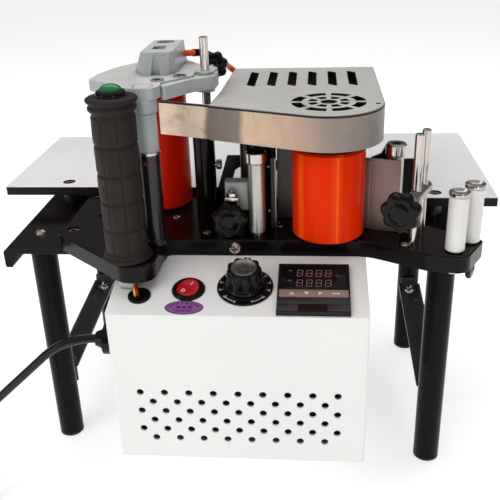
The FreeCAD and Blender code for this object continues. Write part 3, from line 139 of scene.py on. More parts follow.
def finish(name, colour, rough, metal=0.0, second=None, tint=40.0, uneven=0.08, rough_scale=120.0,
           grain=0.0, grain_scale=900.0, stretch=(1, 1, 1), worn=None, wear=0.5, edge_radius=0.0005,
           crevice_shade=None, reach=0.004, crevice_shade_amount=0.7, shaded_sides=None, **extra):
    """A worked surface: blotchy colour (tint is its scale), uneven roughness, fine grain and worn edges, with
    optional painted shade: a darker colour in corners and pockets, and a darker colour on faces that turn away
    from the top.
    """
    s = Shader(name)
    second = second or tuple(c * 0.8 for c in colour)
    blotch = s.noise(tint, 5.0, 0.6, stretch)
    shade = s.mix(s.spread(blotch, 0.0, 1.0), colour, second)
    # painted shade: faces turned away from the top take the darker side colour
    if shaded_sides is not None:
        shade = s.mix(s.spread(s.facing("Z"), 1.0, 0.0, 0.4, 0.9), shade, shaded_sides)
    normal, edges = s.edge(edge_radius)
    # painted shade: corners and pockets darken towards the given colour, found by ambient occlusion
    if crevice_shade is not None:
        shade = s.mix(s.math("MULTIPLY", s.crevice(reach), crevice_shade_amount), shade, crevice_shade)
    if worn is not None:
        patchy = s.math("MULTIPLY", edges, s.spread(s.noise(260.0), 0.0, wear, 0.35, 0.65))
        shade = s.mix(patchy, shade, worn)
    roughness = s.spread(s.noise(rough_scale, 6.0, 0.6, stretch), rough - uneven, rough + uneven)
    if grain:
        normal = s.bump(s.noise(grain_scale, 3.0, 0.6, stretch), 0.6, grain, normal)
    return s.set(colour=shade, rough=roughness, metal=metal, normal=normal, **extra)


# In the materials below, the crevice colours are painted shade in corners and pockets, and cast_grey's side
# colour is painted shade
black_gloss = finish("black_gloss", (0.003, 0.0023, 0.002), 0.18, second=(0.005, 0.0039, 0.0034), uneven=0.05,
                     grain=0.00005, grain_scale=420.0, worn=(0.14, 0.105, 0.085), wear=0.7, specular=0.15)
black_satin = finish("black_satin", (0.0045, 0.004, 0.0038), 0.34, second=(0.0085, 0.0075, 0.007),
                     grain=0.00006, grain_scale=700.0, worn=(0.07, 0.06, 0.055), specular=0.2)
leg_paint = finish("leg_paint", (0.0026, 0.002, 0.0019), 0.26, second=(0.0042, 0.0033, 0.0031), uneven=0.06,
                   grain=0.00004, grain_scale=500.0, worn=(0.07, 0.05, 0.045), specular=0.1)
brace_paint = finish("brace_paint", (0.03, 0.027, 0.025), 0.34, second=(0.045, 0.041, 0.038), grain=0.00005,
                     grain_scale=400.0, worn=(0.12, 0.11, 0.1), wear=0.8, specular=0.5)
white_paint = finish("white_paint", (0.8, 0.8, 0.795), 0.45, second=(0.765, 0.768, 0.765), tint=9.0,
                     uneven=0.05, grain=0.00003, grain_scale=1600.0, worn=(0.62, 0.62, 0.62), wear=0.35,
                     crevice_shade=(0.3, 0.29, 0.28), reach=0.003, crevice_shade_amount=0.5)
cast_grey = finish("cast_grey", (0.62, 0.61, 0.595), 0.34, second=(0.52, 0.515, 0.505), tint=26.0, metal=0.1,
                   grain=0.00008, grain_scale=650.0, worn=(0.8, 0.8, 0.79), wear=0.9, edge_radius=0.0008,
                   shaded_sides=(0.345, 0.375, 0.385), crevice_shade=(0.05, 0.055, 0.06), reach=0.005, crevice_shade_amount=0.85)
block_grey = finish("block_grey", (0.3, 0.31, 0.305), 0.42, second=(0.22, 0.23, 0.225), metal=0.3, tint=60.0,
                    grain=0.00007, worn=(0.66, 0.66, 0.65), wear=0.8, crevice_shade=(0.02, 0.02, 0.02))
chrome = finish("chrome", (0.6, 0.565, 0.53), 0.15, metal=1.0, second=(0.48, 0.45, 0.42), tint=90.0,
                uneven=0.05, rough_scale=260.0, grain=0.00001, grain_scale=1500.0, stretch=(1, 1, 0.2),
                crevice_shade=(0.03, 0.028, 0.025), reach=0.002)
guide_steel = finish("guide_steel", (0.52, 0.505, 0.475), 0.33, metal=0.9, second=(0.4, 0.385, 0.36),
                     tint=60.0, uneven=0.06, grain=0.00002, grain_scale=1500.0, stretch=(1, 1, 0.3),
                     worn=(0.7, 0.69, 0.66))
brushed = finish("brushed", (0.5, 0.48, 0.46), 0.32, metal=1.0, second=(0.38, 0.365, 0.35), tint=50.0,
                 grain=0.00003, grain_scale=1500.0, stretch=(1, 1, 0.08), worn=(0.8, 0.79, 0.77), wear=0.6,
                 crevice_shade=(0.02, 0.02, 0.018), reach=0.002)
dark_steel = finish("dark_steel", (0.1, 0.097, 0.093), 0.42, metal=0.8, second=(0.055, 0.053, 0.05),
                    tint=70.0, grain=0.00005, worn=(0.35, 0.34, 0.32))
bronze = finish("bronze", (0.4, 0.25, 0.1), 0.34, metal=1.0, second=(0.28, 0.17, 0.07), grain=0.00003)
cast_iron = finish("cast_iron", (0.04, 0.034, 0.03), 0.55, metal=0.4, second=(0.024, 0.02, 0.018), tint=55.0,
                   grain=0.00018, grain_scale=600.0, worn=(0.15, 0.14, 0.13))
rubber = finish("rubber", (0.02, 0.0155, 0.014), 0.58, second=(0.0145, 0.0112, 0.01), tint=70.0,
                grain=0.00008, grain_scale=1500.0, worn=(0.04, 0.033, 0.03), specular=0.22,
                crevice_shade=(0.004, 0.003, 0.003), reach=0.003, crevice_shade_amount=0.8)
cable_vinyl = finish("cable_vinyl", (0.0042, 0.0036, 0.0034), 0.24, second=(0.0065, 0.0056, 0.0052),
                     uneven=0.05, grain=0.00003, grain_scale=800.0, worn=(0.03, 0.027, 0.025), specular=0.28)
black_plastic = finish("black_plastic", (0.0032, 0.0026, 0.0024), 0.17, second=(0.005, 0.0042, 0.0038),
                       grain=0.00003, grain_scale=1400.0, worn=(0.07, 0.06, 0.055), wear=0.7, specular=0.17)
gloss_plastic = finish("gloss_plastic", (0.0034, 0.003, 0.0032), 0.13, second=(0.0055, 0.005, 0.0052),
                       uneven=0.04, grain=0.00001, worn=(0.1, 0.1, 0.1), wear=0.6, specular=0.2)
ivory = finish("ivory", (0.8, 0.785, 0.75), 0.34, second=(0.74, 0.72, 0.68), tint=30.0, uneven=0.06,
               grain=0.00002, subsurface=0.05)
orange_rubber = finish("orange_rubber", (0.8, 0.085, 0.012), 0.42, second=(0.62, 0.05, 0.008), tint=80.0,
                       grain=0.00006, specular=0.3)
red_plastic = finish("red_plastic", (0.5, 0.004, 0.007), 0.16, second=(0.36, 0.002, 0.004), tint=90.0,
                     uneven=0.04, specular=0.6)
yellow_plastic = finish("yellow_plastic", (0.8, 0.58, 0.06), 0.35)
white_mark = finish("white_mark", (0.75, 0.74, 0.71), 0.5, second=(0.6, 0.59, 0.57), tint=300.0)
circuit = finish("circuit", (0.012, 0.085, 0.035), 0.35, second=(0.008, 0.055, 0.022), tint=300.0,
                 grain=0.00005)


def roller_polymer(name, colour, deep, highlight_strength):
    """Cast polyurethane on a roller: a soft skin, fine turning lines, two long painted highlight streaks fixed
    to the view, and painted highlights on its edges.
    """
    s = Shader(name)
    cloudy = s.spread(s.noise(22.0, 4.0, 0.55), 0.0, 1.0)
    lines = s.noise(260.0, 2.0, 0.5, (0.02, 0.02, 14.0))
    rough = s.math("ADD", s.spread(s.noise(90.0), 0.17, 0.27), s.spread(lines, -0.02, 0.03))
    normal, edges = s.edge(0.0006)
    normal = s.bump(lines, 0.25, 0.00002, normal)
    shade = s.mix(cloudy, colour, deep)
    # painted highlight: bright orange streaks at fixed places across the view
    across = s.across_view()
    for place, half, amount in ((0.15, 0.045, 0.7), (0.12, 0.2, 0.25), (-0.8, 0.1, 0.5)):
        highlight_band = s.spread(s.math("ABSOLUTE", s.math("SUBTRACT", across, place)), highlight_strength * amount, 0.0, 0.0, half)
        shade = s.mix(highlight_band, shade, (0.98, 0.155, 0.012))
    # painted highlight on the rounded edges
    shade = s.mix(s.math("MULTIPLY", edges, 0.4), shade, tuple(min(1.0, c * 1.2 + 0.02) for c in colour))
    return s.set(colour=shade, rough=rough, normal=normal, specular=0.06)


feed_polymer = roller_polymer("feed_polymer", (0.78, 0.028, 0.0), (0.7, 0.02, 0.0), 1.0)
press_polymer = roller_polymer("press_polymer", (0.72, 0.014, 0.0), (0.6, 0.01, 0.0), 0.25)


RING_BOTTOM = 0.266
RING_TOP = 0.268


def post_paint(black_top, ring_top):
    """The post: black paint below, a bright ring, grey casting colour above."""
    s = Shader("post_paint")
    height = s.axis(s.coords, "Z")
    patch = s.noise(60.0)
    dark = s.mix(s.spread(patch, 0.0, 1.0), (0.006, 0.0055, 0.005), (0.011, 0.01, 0.0095))
    grey = s.mix(s.spread(patch, 0.0, 1.0), (0.4, 0.43, 0.44), (0.34, 0.37, 0.38))
    above = s.math("GREATER_THAN", height, black_top)
    over = s.math("GREATER_THAN", height, ring_top)
    shade = s.mix(above, dark, (0.5, 0.47, 0.44))
    shade = s.mix(over, shade, grey)
    normal, edges = s.edge(0.0004)
    metal = s.math("SUBTRACT", above, over)
    rough = s.math("ADD", s.math("MULTIPLY", over, 0.18), s.spread(s.noise(140.0), 0.18, 0.3))
    return s.set(colour=shade, rough=rough, metal=metal, normal=s.bump(s.noise(500.0), 0.5, 0.00004, normal))


def board_laminate():
    """White laminate above, black sawn edges, dark board below."""
    s = Shader("board_laminate")
    up = s.math("GREATER_THAN", s.facing("Z"), 0.6)
    down = s.math("LESS_THAN", s.facing("Z"), -0.6)
    white = s.mix(s.spread(s.noise(14.0), 0.0, 1.0), (0.72, 0.725, 0.725), (0.66, 0.665, 0.67))
    grain = s.spread(s.noise(300.0, 4.0, 0.6, (1, 1, 6)), 0.0, 1.0)
    sawn = s.mix(grain, (0.0035, 0.003, 0.0032), (0.012, 0.01, 0.01))
    under = s.mix(s.spread(s.noise(120.0), 0.0, 1.0), (0.035, 0.027, 0.022), (0.055, 0.043, 0.035))
    shade = s.mix(up, sawn, white)
    shade = s.mix(down, shade, under)
    rough = s.math("ADD", s.math("MULTIPLY", up, -0.18), s.spread(s.noise(150.0), 0.46, 0.58))
    normal = s.bump(s.noise(1300.0, 2.0), 0.3, 0.00003, s.edge(0.0003)[0])
    return s.set(colour=shade, rough=rough, normal=normal, specular=0.2)


def sheet_steel():
    """Brushed stainless cover with painted light: lighter on top and darker on its sides, a painted reflection
    of the room's warm and grey tones on its front skirt, painted highlights on its edges, and painted shade
    along its bends, under it and on its slot walls.
    """
    s = Shader("sheet_steel")
    up = s.facing("Z")
    side = s.math("LESS_THAN", s.math("ABSOLUTE", up), 0.5)
    front = s.math("MULTIPLY", side, s.math("LESS_THAN", s.facing("Y"), -0.05))
    wobble = s.math("MULTIPLY", s.math("SUBTRACT", s.noise(28.0, 3.0, 0.6, (1, 1, 2.0)), 0.5), 0.05)
    across = s.math("ADD", s.spread(s.axis(s.coords, "X"), 0.0, 1.0, -0.05, 0.11), wobble)
    # painted reflection: warm and grey tones of the room laid across the front skirt
    painted_reflection = s.ramp(across, [(0.0, (0.92, 0.73, 0.56)), (0.215, (0.92, 0.75, 0.58)), (0.24, (0.235, 0.195, 0.17)),
                           (0.37, (0.225, 0.185, 0.165)), (0.395, (0.64, 0.475, 0.34)),
                           (0.6, (0.5, 0.35, 0.26)), (0.76, (0.25, 0.21, 0.185)), (1.0, (0.2, 0.19, 0.18))])
    stain = s.spread(s.noise(95.0, 6.0, 0.7, warp=0.5), 0.0, 0.5, 0.45, 0.7)
    painted_reflection = s.mix(stain, painted_reflection, (0.3, 0.245, 0.2))
    # painted light and shade: a lighter colour on top, a darker one on the sides
    rolled = s.spread(s.noise(30.0, 4.0, 0.6, (1, 6, 1)), 0.0, 1.0)
    plain = s.mix(rolled, (0.6, 0.595, 0.58), (0.53, 0.525, 0.51))
    shaded_side_tone = s.mix(s.spread(s.noise(26.0), 0.0, 1.0), (0.34, 0.33, 0.32), (0.25, 0.24, 0.23))
    shade = s.mix(side, plain, shaded_side_tone)
    shade = s.mix(front, shade, painted_reflection)
    normal, edges = s.edge(0.0005)
    # painted highlight on the rounded edges
    shade = s.mix(s.math("MULTIPLY", edges, 0.6), shade, (0.8, 0.79, 0.77))
    # painted shade: a dark line along the bend between top and skirt
    bend_shade = s.math("MULTIPLY", s.math("GREATER_THAN", up, 0.12), s.math("LESS_THAN", up, 0.93))
    shade = s.mix(s.math("MULTIPLY", bend_shade, 0.65), shade, (0.045, 0.038, 0.033))
    # painted shade on the underside and on the walls of the slots
    inner = s.math("LESS_THAN", up, -0.5)
    cut = s.math("MULTIPLY", side, s.math("GREATER_THAN", s.axis(s.coords, "Z"), 0.2938))
    shade = s.mix(s.math("MAXIMUM", inner, cut), shade, (0.022, 0.019, 0.017))
    hairlines = s.noise(420.0, 3.0, 0.7, (0.12, 6.0, 0.12))
    rough = s.math("ADD", s.spread(hairlines, 0.32, 0.44), s.spread(s.noise(45.0), -0.03, 0.05))
    normal = s.bump(hairlines, 0.25, 0.00003, normal)
    return s.set(colour=shade, rough=rough, metal=0.35, normal=normal, specular=0.35)


def fence_steel():
    """Thin polished strip with a painted reflection of the rollers' red and the dark plate, and painted
    highlights on its edges.
    """
    s = Shader("fence_steel")
    height = s.spread(s.axis(s.coords, "Z"), 0.0, 1.0, 0.2, 0.255)
    # painted reflection of the rollers' red and the dark plate, laid by height
    painted_reflection = s.ramp(height, [(0.0, (0.17, 0.11, 0.1)), (0.55, (0.245, 0.155, 0.145)),
                           (1.0, (0.21, 0.14, 0.135))])
    shade = s.mix(s.spread(s.noise(40.0), 0.0, 0.3), painted_reflection, (0.3, 0.24, 0.235))
    normal, edges = s.edge(0.0004)
    # painted highlight on the rounded edges
    shade = s.mix(s.math("MULTIPLY", edges, 0.8), shade, (0.7, 0.66, 0.64))
    hair = s.noise(500.0, 3.0, 0.7, (0.1, 0.1, 5.0))
    normal = s.bump(hair, 0.2, 0.00002, normal)
    return s.set(colour=shade, rough=s.spread(hair, 0.3, 0.42), metal=0.5, normal=normal)


def lens_green():
    """Translucent green lens over the handle's button, painted darker on its sides as painted shade, with a
    faint painted glow.
    """
    s = Shader("lens_green")
    # painted shade: the dome darker on its sides than on top
    middle = s.spread(s.facing("Z"), 0.0, 1.0, 0.35, 0.95)
    shade = s.mix(s.spread(s.noise(140.0), 0.0, 1.0), (0.004, 0.2, 0.055), (0.002, 0.12, 0.035))
    shade = s.mix(middle, (0.001, 0.035, 0.012), shade)
    normal = s.bump(s.noise(700.0), 0.2, 0.00006, s.edge(0.0003)[0])
    # painted glow: a faint green emission
    return s.set(colour=shade, rough=s.spread(s.noise(200.0), 0.05, 0.12), normal=normal, specular=0.6,
                 glow=(0.0, 0.2, 0.05), glow_strength=0.05)


def spun_cap():
    """Aluminium disc with turning rings."""
    s = Shader("spun_cap")
    rings = s.noise(900.0, 2.0)
    shade = s.mix(s.spread(rings, 0.0, 1.0), (0.62, 0.62, 0.61), (0.34, 0.34, 0.335))
    rough = s.spread(s.noise(600.0), 0.22, 0.38)
    return s.set(colour=shade, rough=rough, metal=1.0, normal=s.bump(rings, 0.3, 0.00002))


laminate = board_laminate()
cover_steel = sheet_steel()
fence_metal = fence_steel()
green_lens = lens_green()
spun = spun_cap()
purple = finish("purple", (0.25, 0.085, 0.27), 0.45, second=(0.2, 0.065, 0.22), tint=200.0, specular=0.3)
purple_dark = finish("purple_dark", (0.022, 0.004, 0.035), 0.5, specular=0.3)
digit_off = finish("digit_off", (0.24, 0.17, 0.165), 0.4, second=(0.19, 0.135, 0.13), tint=400.0,
                   specular=0.3)
key_strip = finish("key_strip", (0.28, 0.2, 0.165), 0.42, second=(0.22, 0.155, 0.125), tint=120.0,
                   grain=0.00003, specular=0.3)
key_mark = finish("key_mark", (0.75, 0.64, 0.58), 0.5)
glass_black = finish("glass_black", (0.006, 0.004, 0.005), 0.1, second=(0.008, 0.006, 0.007), uneven=0.03,
                     specular=0.22)
slate_plastic = finish("slate_plastic", (0.026, 0.026, 0.03), 0.42, second=(0.019, 0.019, 0.022),
                       grain=0.00003)
# Flat dark colour for pieces that stand in for the shade in hollows (painted shade)
hollow_shade = finish("hollow_shade", (0.006, 0.006, 0.006), 0.7, specular=0.2)
shield_steel = finish("shield_steel", (0.155, 0.135, 0.12), 0.4, metal=0.4, second=(0.105, 0.092, 0.083),
                      tint=45.0, grain=0.00003, stretch=(1, 1, 0.2), worn=(0.45, 0.43, 0.4))
navy_line = finish("navy_line", (0.045, 0.055, 0.085), 0.4)

CAD_LOOKS = [
    (black_gloss, "side_rails base_plate left_column drive_column"),
    (black_satin, "gear_plate guide_brackets temperature_controller"),
    (leg_paint, "legs"),
    (brace_paint, "braces"),
    (white_paint, "control_box box_back_cover"),
    (cast_grey, "head_casting head_arm"),
    (block_grey, "cutter_block"),
    (post_paint(RING_BOTTOM, RING_TOP), "head_post"),
    (chrome, "pan_head_screws socket_screws gauge_rod guide_roller_pins tape_rods edge_roller_screws"),
    (guide_steel, "centre_guide_roller right_guide_roller"),
    (brushed, "handle_core press_roller_pin feed_roller_shaft heater_cartridge rod_clamp"),
    (dark_steel, "table_spacers feed_gear drive_shaft gear_motor glue_roller"),
    (cover_steel, "drive_cover"),
    (fence_metal, "fence_plate"),
    (bronze, "shaft_bushes"),
    (cast_iron, "glue_pot"),
    (laminate, "left_table_board right_table_board"),
    (rubber, "leg_end_caps handle_grip"),
    (black_plastic, "arm_knob cutter_knob rod_clamp_knob speed_knob lead_socket cable_gland"),
    (gloss_plastic, "switch_frame speed_dial"),
    (cable_vinyl, "power_cable"),
    (ivory, "front_edge_roller rear_edge_roller"),
    (feed_polymer, "feed_roller"),
    (press_polymer, "press_roller"),
    (orange_rubber, "heater_lead"),
    (red_plastic, "power_rocker"),
    (green_lens, "handle_button"),
    (circuit, "power_board"),
]
look_of = {name: look for look, names in CAD_LOOKS for name in names.split()}
for node_name, node in nodes.items():
    node.data.materials.clear()
    node.data.materials.append(look_of[node_name])


# ---- mesh helpers (sizes in millimetres)

def make(name, verts, faces, body, look, slot, smooth=40.0, matrix=None):
    """A mesh piece from millimetre vertices, riding on a body."""
    mesh = bpy.data.meshes.new(name)
    place = matrix or Matrix.Identity(4)
    mesh.from_pydata([(place @ Vector(v)) * MM for v in verts], [], faces)
    mesh.validate()
    obj = bpy.data.objects.new(name, mesh)
    bpy.context.scene.collection.objects.link(obj)
    mesh.materials.append(look)
    for polygon in mesh.polygons:
        polygon.use_smooth = True
    mesh.set_sharp_from_angle(angle=math.radians(smooth))
    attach(obj, body)
    return obj


def at(x, y, z=0.0):
    return Matrix.Translation((x, y, z))


def turned(degrees, axis="Z"):
    return Matrix.Rotation(math.radians(degrees), 4, axis)


def aimed(origin, direction, roll=0.0):
    """A matrix that takes +Z to a direction from an origin."""
    turn = Vector(direction).normalized().to_track_quat("Z", "Y").to_matrix().to_4x4()
    return Matrix.Translation(origin) @ turn @ Matrix.Rotation(roll, 4, "Z")


def revolve(profile, segments=72, shape=None):
    """(verts, faces) of a closed solid of revolution. shape(angle, r, z) may change a point's radius."""
    verts = []
    faces = []
    rows = []
    for r, z in profile:
        if r < 1e-6:
            rows.append([len(verts)])
            verts.append((0.0, 0.0, z))
            continue
        row = []
        for i in range(segments):
            turn = 2 * math.pi * i / segments
            reach = shape(turn, r, z) if shape else r
            row.append(len(verts))
            verts.append((reach * math.cos(turn), reach * math.sin(turn), z))
        rows.append(row)
    pairs = list(zip(rows, rows[1:]))
    if len(rows[0]) > 1 and len(rows[-1]) > 1:
        pairs.append((rows[-1], rows[0]))
    for low, high in pairs:
        for i in range(segments):
            j = (i + 1) % segments
            if len(low) == 1 and len(high) == 1:
                continue
            if len(low) == 1:
                faces.append((low[0], high[j], high[i]))
            elif len(high) == 1:
                faces.append((low[i], low[j], high[0]))
            else:
                faces.append((low[i], low[j], high[j], high[i]))
    return verts, faces


def lathe(name, matrix, profile, body, look, slot, segments=72, shape=None, smooth=35.0):
    verts, faces = revolve(profile, segments, shape)
    return make(name, verts, faces, body, look, slot, smooth, matrix)


def tube(points, radius, segments=20, steps=10, span=None):
    """(verts, faces) of a round tube through points, smoothed as a Catmull-Rom chain. span keeps part of it."""
    chain = [Vector(p) for p in points]
    padded = [chain[0] * 2 - chain[1]] + chain + [chain[-1] * 2 - chain[-2]]
    path = []
    for a, b, c, d in zip(padded, padded[1:], padded[2:], padded[3:]):
        for i in range(steps):
            t = i / steps
            path.append(0.5 * ((2 * b) + (c - a) * t + (2 * a - 5 * b + 4 * c - d) * t * t
                               + (3 * b - a - 3 * c + d) * t * t * t))
    path.append(chain[-1])
    if span:
        path = path[span[0]:span[1]]
    verts = []
    faces = []
    ahead = (path[1] - path[0]).normalized()
    side = ahead.orthogonal().normalized()
    for k, point in enumerate(path):
        ahead = (path[min(k + 1, len(path) - 1)] - path[max(k - 1, 0)]).normalized()
        side = (side - ahead * side.dot(ahead)).normalized()
        other = ahead.cross(side)
        for i in range(segments):
            turn = 2 * math.pi * i / segments
            verts.append(point + (side * math.cos(turn) + other * math.sin(turn)) * radius)
        if k:
            base = (k - 1) * segments
            for i in range(segments):
                j = (i + 1) % segments
                faces.append((base + i, base + j, base + segments + j, base + segments + i))
    faces.append(tuple(reversed(range(segments))))
    faces.append(tuple(range(len(verts) - segments, len(verts))))
    return verts, faces


def chamfered(x0, y0, z0, x1, y1, z1, c):
    """(verts, faces) of a box whose top and upright edges are cut back by c."""
    def loop(inset, z):
        a, b = x0 + inset, x1 - inset
        p, q = y0 + inset, y1 - inset
        return [(a + c, p, z), (b - c, p, z), (b, p + c, z), (b, q - c, z),
                (b - c, q, z), (a + c, q, z), (a, q - c, z), (a, p + c, z)]
    verts = loop(0, z0) + loop(0, z1 - c) + loop(c, z1)
    faces = [tuple(reversed(range(8)))]
    for level in (0, 8):
        for i in range(8):
            j = (i + 1) % 8
            faces.append((level + i, level + j, level + 8 + j, level + 8 + i))
    faces.append(tuple(range(16, 24)))
    return verts, faces


def plate(outline, z0, z1, edge=0.15):
    """(verts, faces) of a flat shape with a small bevel round its top. The outline runs anticlockwise."""
    count = len(outline)
    centre = Vector((sum(p[0] for p in outline) / count, sum(p[1] for p in outline) / count))
    inner = []
    for p in outline:
        v = Vector(p)
        inner.append(v + (centre - v).normalized() * edge)
    verts = [(*p, z0) for p in outline] + [(*p, z1 - edge) for p in outline] + [(*p, z1) for p in inner]
    faces = [tuple(reversed(range(count)))]
    for level in (0, count):
        for i in range(count):
            j = (i + 1) % count
            faces.append((level + i, level + j, level + count + j, level + count + i))
    faces.append(tuple(range(2 * count, 3 * count)))
    return verts, faces


def joined(parts):
    """One (verts, faces) from several, each optionally with its own matrix."""
    verts = []
    faces = []
    for part in parts:
        some, loops = part[0], part[1]
        place = part[2] if len(part) > 2 else Matrix.Identity(4)
        base = len(verts)
        verts += [place @ Vector(v) for v in some]
        faces += [tuple(base + i for i in loop) for loop in loops]
    return verts, faces


def ellipse(half_x, half_y, count=60):
    """Points round an ellipse, anticlockwise."""
    turns = [2 * math.pi * i / count for i in range(count)]
    return [(half_x * math.cos(a), half_y * math.sin(a)) for a in turns]


# ---- handle

HANDLE = (-66.4, -123.0)
GRIP_R = 14.25
SEAMS = 8
GROOVES = (224.5, 243.3, 261.9, 280.6)
PADS_LOW = 208.5
PADS_HIGH = 297.5
ROW_STEP = 0.62
GROOVE_DEPTH = 0.95
SEAM_DEPTH = 0.75


def dip(distance, width):
    return math.exp(-(distance / width) ** 2)


def grip_profile():
    """(radius, height) rows down the grip's outside, dense enough to carry its grooves."""
    rows = [(15.2, 201.2), (16.3, 201.4), (16.75, 202.1), (16.75, 203.0), (16.2, 203.9), (15.4, 204.4),
            (15.2, 204.8), (15.5, 205.4), (15.55, 206.0), (15.1, 206.7), (14.6, 207.2), (14.3, 208.0)]
    z = PADS_LOW + 0.3
    while z < PADS_HIGH - 0.3:
        rows.append((GRIP_R, z))
        z += ROW_STEP
    rows += [(14.15, 298.0), (13.8, 298.9), (13.45, 299.8), (13.4, 300.6), (13.7, 301.4), (14.7, 302.1),
             (15.35, 303.0), (15.5, 304.0), (15.2, 304.9), (14.6, 305.6), (14.3, 306.2), (14.6, 306.9),
             (15.7, 307.6), (16.35, 308.4), (16.45, 309.1), (16.1, 309.8), (14.9, 310.5), (12.8, 310.9),
             (10.6, 311.0), (9.0, 310.9), (8.5, 310.5), (8.3, 309.6)]
    rows += [(8.3, 309.4), (10.05, 309.4), (10.05, 201.2)]
    return rows


def grip_shape(turn, r, z):
    """The radius cut by the seams and grooves between the pads, each pad slightly pillowed."""
    if not PADS_LOW < z < PADS_HIGH or r < 12:
        return r
    seam = (turn / (2 * math.pi) * SEAMS + 0.5) % 1.0 - 0.5
    depth = SEAM_DEPTH * dip(seam * 2 * math.pi * GRIP_R / SEAMS, 0.75)
    edges = [PADS_LOW, *GROOVES, PADS_HIGH]
    nearest = min(abs(z - g) for g in GROOVES)
    depth = max(depth, GROOVE_DEPTH * dip(nearest, 0.85))
    for low, high in zip(edges, edges[1:]):
        if low <= z < high:
            pillow = math.sin(math.pi * (z - low) / (high - low)) ** 0.5
            return r - depth - 0.25 * (1 - pillow) + 0.08 * math.sin(3 * turn + z * 0.2)
    return r - depth


grip = lathe("grip", at(*HANDLE) @ turned(-67.5), grip_profile(), "frame", rubber, "black_rubber",
             segments=176, shape=grip_shape, smooth=60.0)
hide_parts("handle_grip")


def dome_profile(r, z0, height, base, rows=14):
    """A button: a thinner stem from base, then a dome of the given height above z0."""
    out = [(0.0, base), (r * 0.8, base), (r * 0.8, z0 - 1.0), (r, z0 - 1.0), (r, z0)]
    for i in range(1, rows):
        turn = math.pi / 2 * i / rows
        out.append((r * math.cos(turn), z0 + height * math.sin(turn)))
    out.append((0.0, z0 + height))
    return out


def lens_ribs(turn, r, z):
    return r * (1 + 0.008 * math.cos(16 * turn)) if z > 313.7 else r


button = lathe("button_lens", at(*HANDLE), dome_profile(7.6, 313.6, 4.7, 287.0), "button", green_lens,
               "green_plastic", segments=64, shape=lens_ribs)
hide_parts("handle_button")
bezel_rows = [(7.75, 308.5), (8.25, 308.5), (8.3, 310.6), (9.7, 310.9), (9.8, 312.2), (9.3, 313.6),
              (8.5, 314.2), (7.9, 314.0), (7.75, 313.2)]
lathe("button_bezel", at(*HANDLE), bezel_rows, "frame", gloss_plastic, "gloss_black_plastic", segments=64)


# ---- star knobs

def star_knob(name, origin, direction, body, node_name, radius, thick, stud_d, stud, roll=0.0, lobes=7):
    """Lobed clamping knob with a domed face, a stepped hub and a steel stud."""
    def lobed(turn, r, z):
        if z < -0.2 or r < radius * 0.35:
            return r
        wave = (1 + math.cos(lobes * turn)) / 2
        pull = 0.17 * (1 - wave ** 0.6)
        return r * (1 - pull * min(1.0, (r / radius) ** 2))

    hub = radius * 0.5
    rows = [(0, -4.0), (hub - 0.5, -4.0), (hub, -3.5), (hub, -0.6), (radius * 0.72, -0.3), (radius * 0.86, 0.0)]
    for i in range(9):
        turn = -math.pi / 2 + math.pi * i / 8
        rows.append((radius - 1.7 + 1.7 * math.cos(turn), thick / 2 - 0.6 + (thick / 2 - 0.6) * math.sin(turn)))
    for share, below in ((0.8, 0.95), (0.66, 0.5), (0.6, 0.9), (0.54, 0.95), (0.48, 0.35), (0.3, 0.05)):
        rows.append((radius * share, thick - below))
    rows.append((0, thick))
    place = aimed(origin, direction, roll)
    knob = lathe(name, place, rows, body, black_plastic, "black_plastic", lobes * 22, lobed, smooth=50.0)
    pin_rows = [(0, -4.0 - stud), (stud_d / 2 - 0.4, -4.0 - stud), (stud_d / 2, -3.6 - stud)]
    z = -3.2 - stud
    while z < -4.4:
        pin_rows += [(stud_d / 2, z), (stud_d / 2 - 0.3, z + 0.4)]
        z += 0.8
    pin_rows += [(stud_d / 2, -4.0), (0, -4.0)]
    lathe(name + "_stud", place, pin_rows, body, brushed, "bright_steel", segments=32, smooth=30.0)
    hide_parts(node_name)


rear_rod = Vector((133.0, -86.0, 236.0))
front_rod = Vector((126.7, -100.0, 236.0))
clamp_way = (front_rod - rear_rod).normalized()
star_knob("clamp_star", front_rod + clamp_way * 26.0, clamp_way, "clamp_knob", "rod_clamp_knob", 13.5, 10.0,
          5.0, 18.6, roll=0.3)
arm_way = Vector((0.04, 1.0, 0.0)).normalized()
gauge_at = Vector((-17.0, -55.0, 308.3))
star_knob("arm_star", gauge_at + arm_way * 33.5, arm_way, "arm_knob_body", "arm_knob", 10.6, 9.0, 5.0, 26.2,
          roll=0.2)
star_knob("cutter_star", Vector((0.0, -87.0, 214.4)), Vector((0, -1, 0)), "cutter_knob_body", "cutter_knob",
          13.0, 9.0, 5.0, 8.0, roll=0.1)

# ---- control panel

# The panel slopes from the crease at the box's front up to the plate's underside
CREASE_Y = -155.6
CREASE_Z = 174.2
PANEL_BACK_Y = -95.0
PANEL_BACK_Z = 189.0
tilt = math.atan2(PANEL_BACK_Z - CREASE_Z, PANEL_BACK_Y - CREASE_Y)
PANEL = at(0, CREASE_Y, CREASE_Z) @ Matrix.Rotation(tilt, 4, "X")


def on_panel(x=0.0, s=0.0, n=0.0):
    """A place on the panel: x across, s up its slope from the crease, n out of it."""
    return PANEL @ at(x, s, n)


# Controller face: glass, two rows of unlit digits, the key strip and the lower bar
CX = 35.3  # its left edge
CS = 1.2  # its lower edge


def panel_piece(name, mesh, look, body="frame", slot="gloss_black_plastic", matrix=PANEL):
    return make(name, *mesh, body, look, slot, matrix=matrix)


